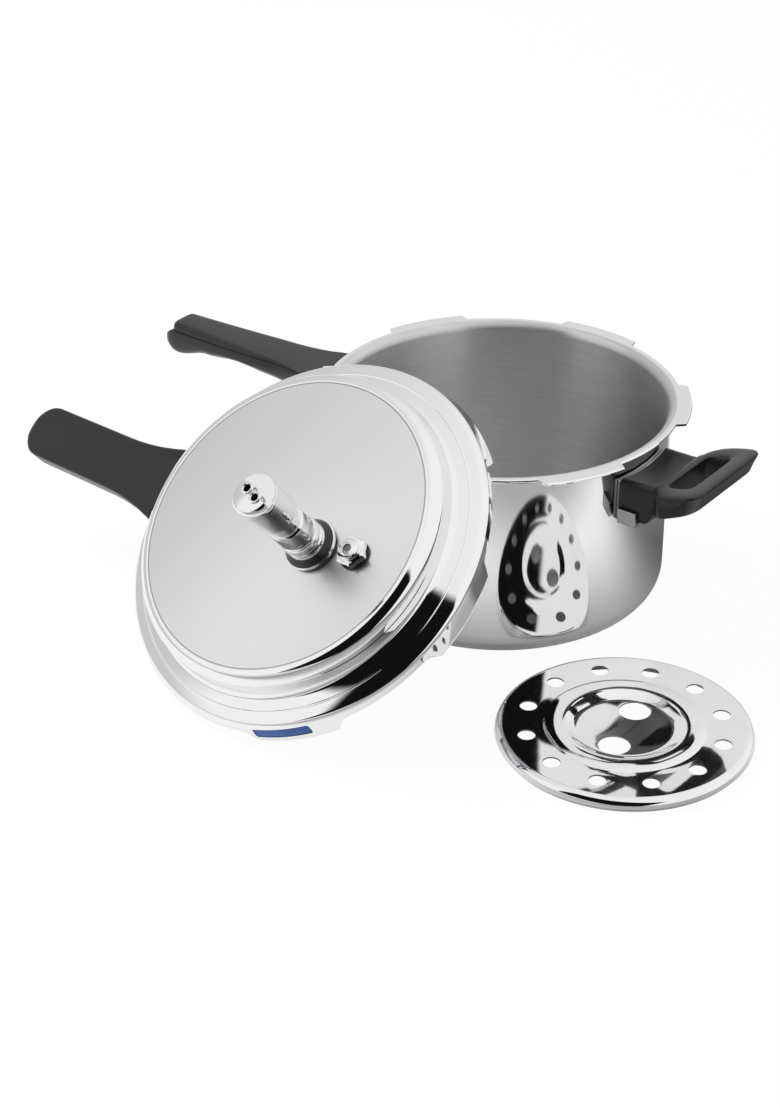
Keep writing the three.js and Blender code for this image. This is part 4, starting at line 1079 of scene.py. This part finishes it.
floor = {
    "half": 6.0, "level": -0.0004, "white": 0.96, "shown": 0.85, "shade": 0.86,
    # where the painted shade seen in reflections lies
    "away": (0.75, -0.66, 0.0), "front": (0.30, 0.19), "far": (0.9, 0.35), "pot": (100, 240),
    "plate": (70, 82), "rightX": (-0.02, 0.06), "rightY": (0.0, 0.12),
}


def makeFloor():  # white to the camera; in reflections it carries painted shadows and painted shade, darker near the pot, under the plate, right of the pot and toward the camera
    material = bpy.data.materials.new("paleFloor")
    root = emptyTree(material)
    camera, shiny = rayKinds(root.tree)
    place = root.add("ShaderNodeTexCoord", {}, output="Object")
    ahead = place.dot(floor["away"])
    # painted shade, darker toward the camera's side and darker still further out
    front = ahead.step(*floor["front"]) * 0.64 + 0.36
    far = ahead.step(*floor["far"]) * 0.8 + 0.2
    # painted shadows round the pot's foot and under the plate
    paintedPotShadow = place.around()[0].step(*floor["pot"]) * 0.7 + 0.3
    paintedPlateShadow = place.around(plateAt)[0].step(*floor["plate"]) * 0.85 + 0.15
    # painted shadow to the right of the pot and behind it
    right = place.dot((1.0, 0.0, 0.0)).step(*floor["rightX"])
    right = right * place.dot((0.0, 1.0, 0.0)).step(*floor["rightY"])
    paintedFloorShade = front * far * paintedPotShadow * paintedPlateShadow * (1.0 - right * 0.86)
    tone = root.add("ShaderNodeCombineColor", {0: paintedFloorShade, 1: paintedFloorShade, 2: paintedFloorShade})
    shade = floor["shade"]
    plain = root.add("ShaderNodeBsdfDiffuse", {"Color": (shade, shade, shade, 1)})
    white = root.add("ShaderNodeEmission", {"Color": (1, 1, 1, 1), "Strength": 1.0})
    shadedInReflections = root.add("ShaderNodeEmission", {"Color": tone, "Strength": 1.0})
    seen = root.add("ShaderNodeMixShader", {0: camera * floor["white"], 1: plain, 2: white})
    mixed = root.add("ShaderNodeMixShader", {0: shiny * floor["shown"], 1: seen, 2: shadedInReflections})
    endTree(mixed, "ShaderNodeOutputMaterial")
    return material


def stageMesh(name, corners, material):
    mesh = bpy.data.meshes.new(name)
    mesh.from_pydata(corners, [], [list(range(len(corners)))])
    mesh.materials.append(material)
    obj = bpy.data.objects.new(name, mesh)
    bpy.context.scene.collection.objects.link(obj)
    return obj


floorSides = [(-1, -1), (1, -1), (1, 1), (-1, 1)]
floorCorners = [(x * floor["half"], y * floor["half"], floor["level"]) for x, y in floorSides]
stageMesh("floor", floorCorners, makeFloor())

studio = {
    "lamps": 0.45, "dim": 0.66, "lightSide": (0.78, 0.14, 0.6), "lightFade": (-0.5, 0.7),
    "softbox": (-0.5, -0.66, 0.56), "softboxFade": (0.85, 0.97), "softboxGain": 0.4,
}


def makeWorld():  # white to the camera, brighter to one side in reflections
    world = bpy.data.worlds.new("studio")
    root = emptyTree(world)
    camera, shiny = rayKinds(root.tree)
    toward = root.add("ShaderNodeTexCoord", {}, output="Generated")
    bright = toward.dot(studio["lightSide"]).step(*studio["lightFade"])
    bright = bright * (1.0 - studio["dim"]) + studio["dim"]
    softbox = toward.dot(studio["softbox"]).step(*studio["softboxFade"]) * studio["softboxGain"]
    bright = (bright + softbox).math("MINIMUM", 1.0)
    level = camera.math("MAXIMUM", shiny * bright).math("MAXIMUM", studio["lamps"])
    glow = root.add("ShaderNodeBackground", {"Color": (1, 1, 1, 1), "Strength": level})
    endTree(glow, "ShaderNodeOutputWorld")
    return world


bpy.context.scene.world = makeWorld()


def softLight(name, place, aim, size, power):
    data = bpy.data.lights.new(name, "AREA")
    data.shape = "RECTANGLE"
    data.size, data.size_y = size
    data.energy = power
    obj = bpy.data.objects.new(name, data)
    obj.location = place
    obj.rotation_euler = (Vector(aim) - Vector(place)).to_track_quat("-Z", "Y").to_euler()
    bpy.context.scene.collection.objects.link(obj)
    obj.visible_camera = False
    obj.visible_glossy = False
    return obj


potMiddle = (0, 0, 0.1)  # where the lights and the card face
softLight("keyLight", (-1.5, -0.5, 1.9), potMiddle, size=(1.0, 1.0), power=55)
softLight("fillLight", (1.2, -1.2, 1.6), potMiddle, size=(1.2, 1.2), power=10)

card = {"azimuth": -66, "height": 26, "away": 1.9, "size": (2.8, 1.9), "lean": -24, "fade": 0.06}


def makeCardBlack():  # black that fades out at the card's edges
    material = bpy.data.materials.new("darkCard")
    root = emptyTree(material)
    place = root.add("ShaderNodeTexCoord", {}, output="UV")
    across = root.add("ShaderNodeSeparateXYZ", {0: place}, output="X")
    upward = root.add("ShaderNodeSeparateXYZ", {0: place}, output="Y")
    mask = across.band(0.0, 1.0, card["fade"]) * upward.band(0.0, 1.0, card["fade"])
    clear = root.add("ShaderNodeBsdfTransparent", {})
    black = root.add("ShaderNodeEmission", {"Color": (0.006, 0.006, 0.006, 1), "Strength": 1.0})
    mixed = root.add("ShaderNodeMixShader", {0: mask, 1: clear, 2: black})
    endTree(mixed, "ShaderNodeOutputMaterial")
    return material


def darkCard(name):  # seen only in reflections
    flat, rise, tip = [math.radians(card[key]) for key in ("azimuth", "height", "lean")]
    facing = Vector((math.cos(flat) * math.cos(rise), math.sin(flat) * math.cos(rise), math.sin(rise)))
    side = Vector((0, 0, 1)).cross(facing).normalized()
    up = facing.cross(side).normalized()
    half = (side * math.cos(tip) + up * math.sin(tip)) * (card["size"][0] / 2)
    tall = (up * math.cos(tip) - side * math.sin(tip)) * (card["size"][1] / 2)
    centre = Vector(potMiddle) + facing * card["away"]
    corners = [centre - half - tall, centre + half - tall, centre + half + tall, centre - half + tall]
    obj = stageMesh(name, corners, makeCardBlack())
    obj.data.uv_layers.new(name="card")
    for loop, corner in zip(obj.data.uv_layers["card"].data, ((0, 0), (1, 0), (1, 1), (0, 1))):
        loop.uv = corner
    obj.visible_camera = False
    obj.visible_diffuse = False
    obj.visible_shadow = False
    return obj


darkCard("darkRoom")

view = {"place": (0.8002, -1.1818, 0.8538), "tilt": 59.625, "turn": 37, "lens": 79.41, "sensor": 36}
cameraData = bpy.data.cameras.new("camera")
cameraData.lens = view["lens"]
cameraData.sensor_width = view["sensor"]
camera = bpy.data.objects.new("camera", cameraData)
camera.location = view["place"]
camera.rotation_euler = (math.radians(view["tilt"]), 0, math.radians(view["turn"]))
bpy.context.scene.collection.objects.link(camera)
bpy.context.scene.camera = camera
bpy.context.scene.view_settings.view_transform = "Standard"
print("stage made")
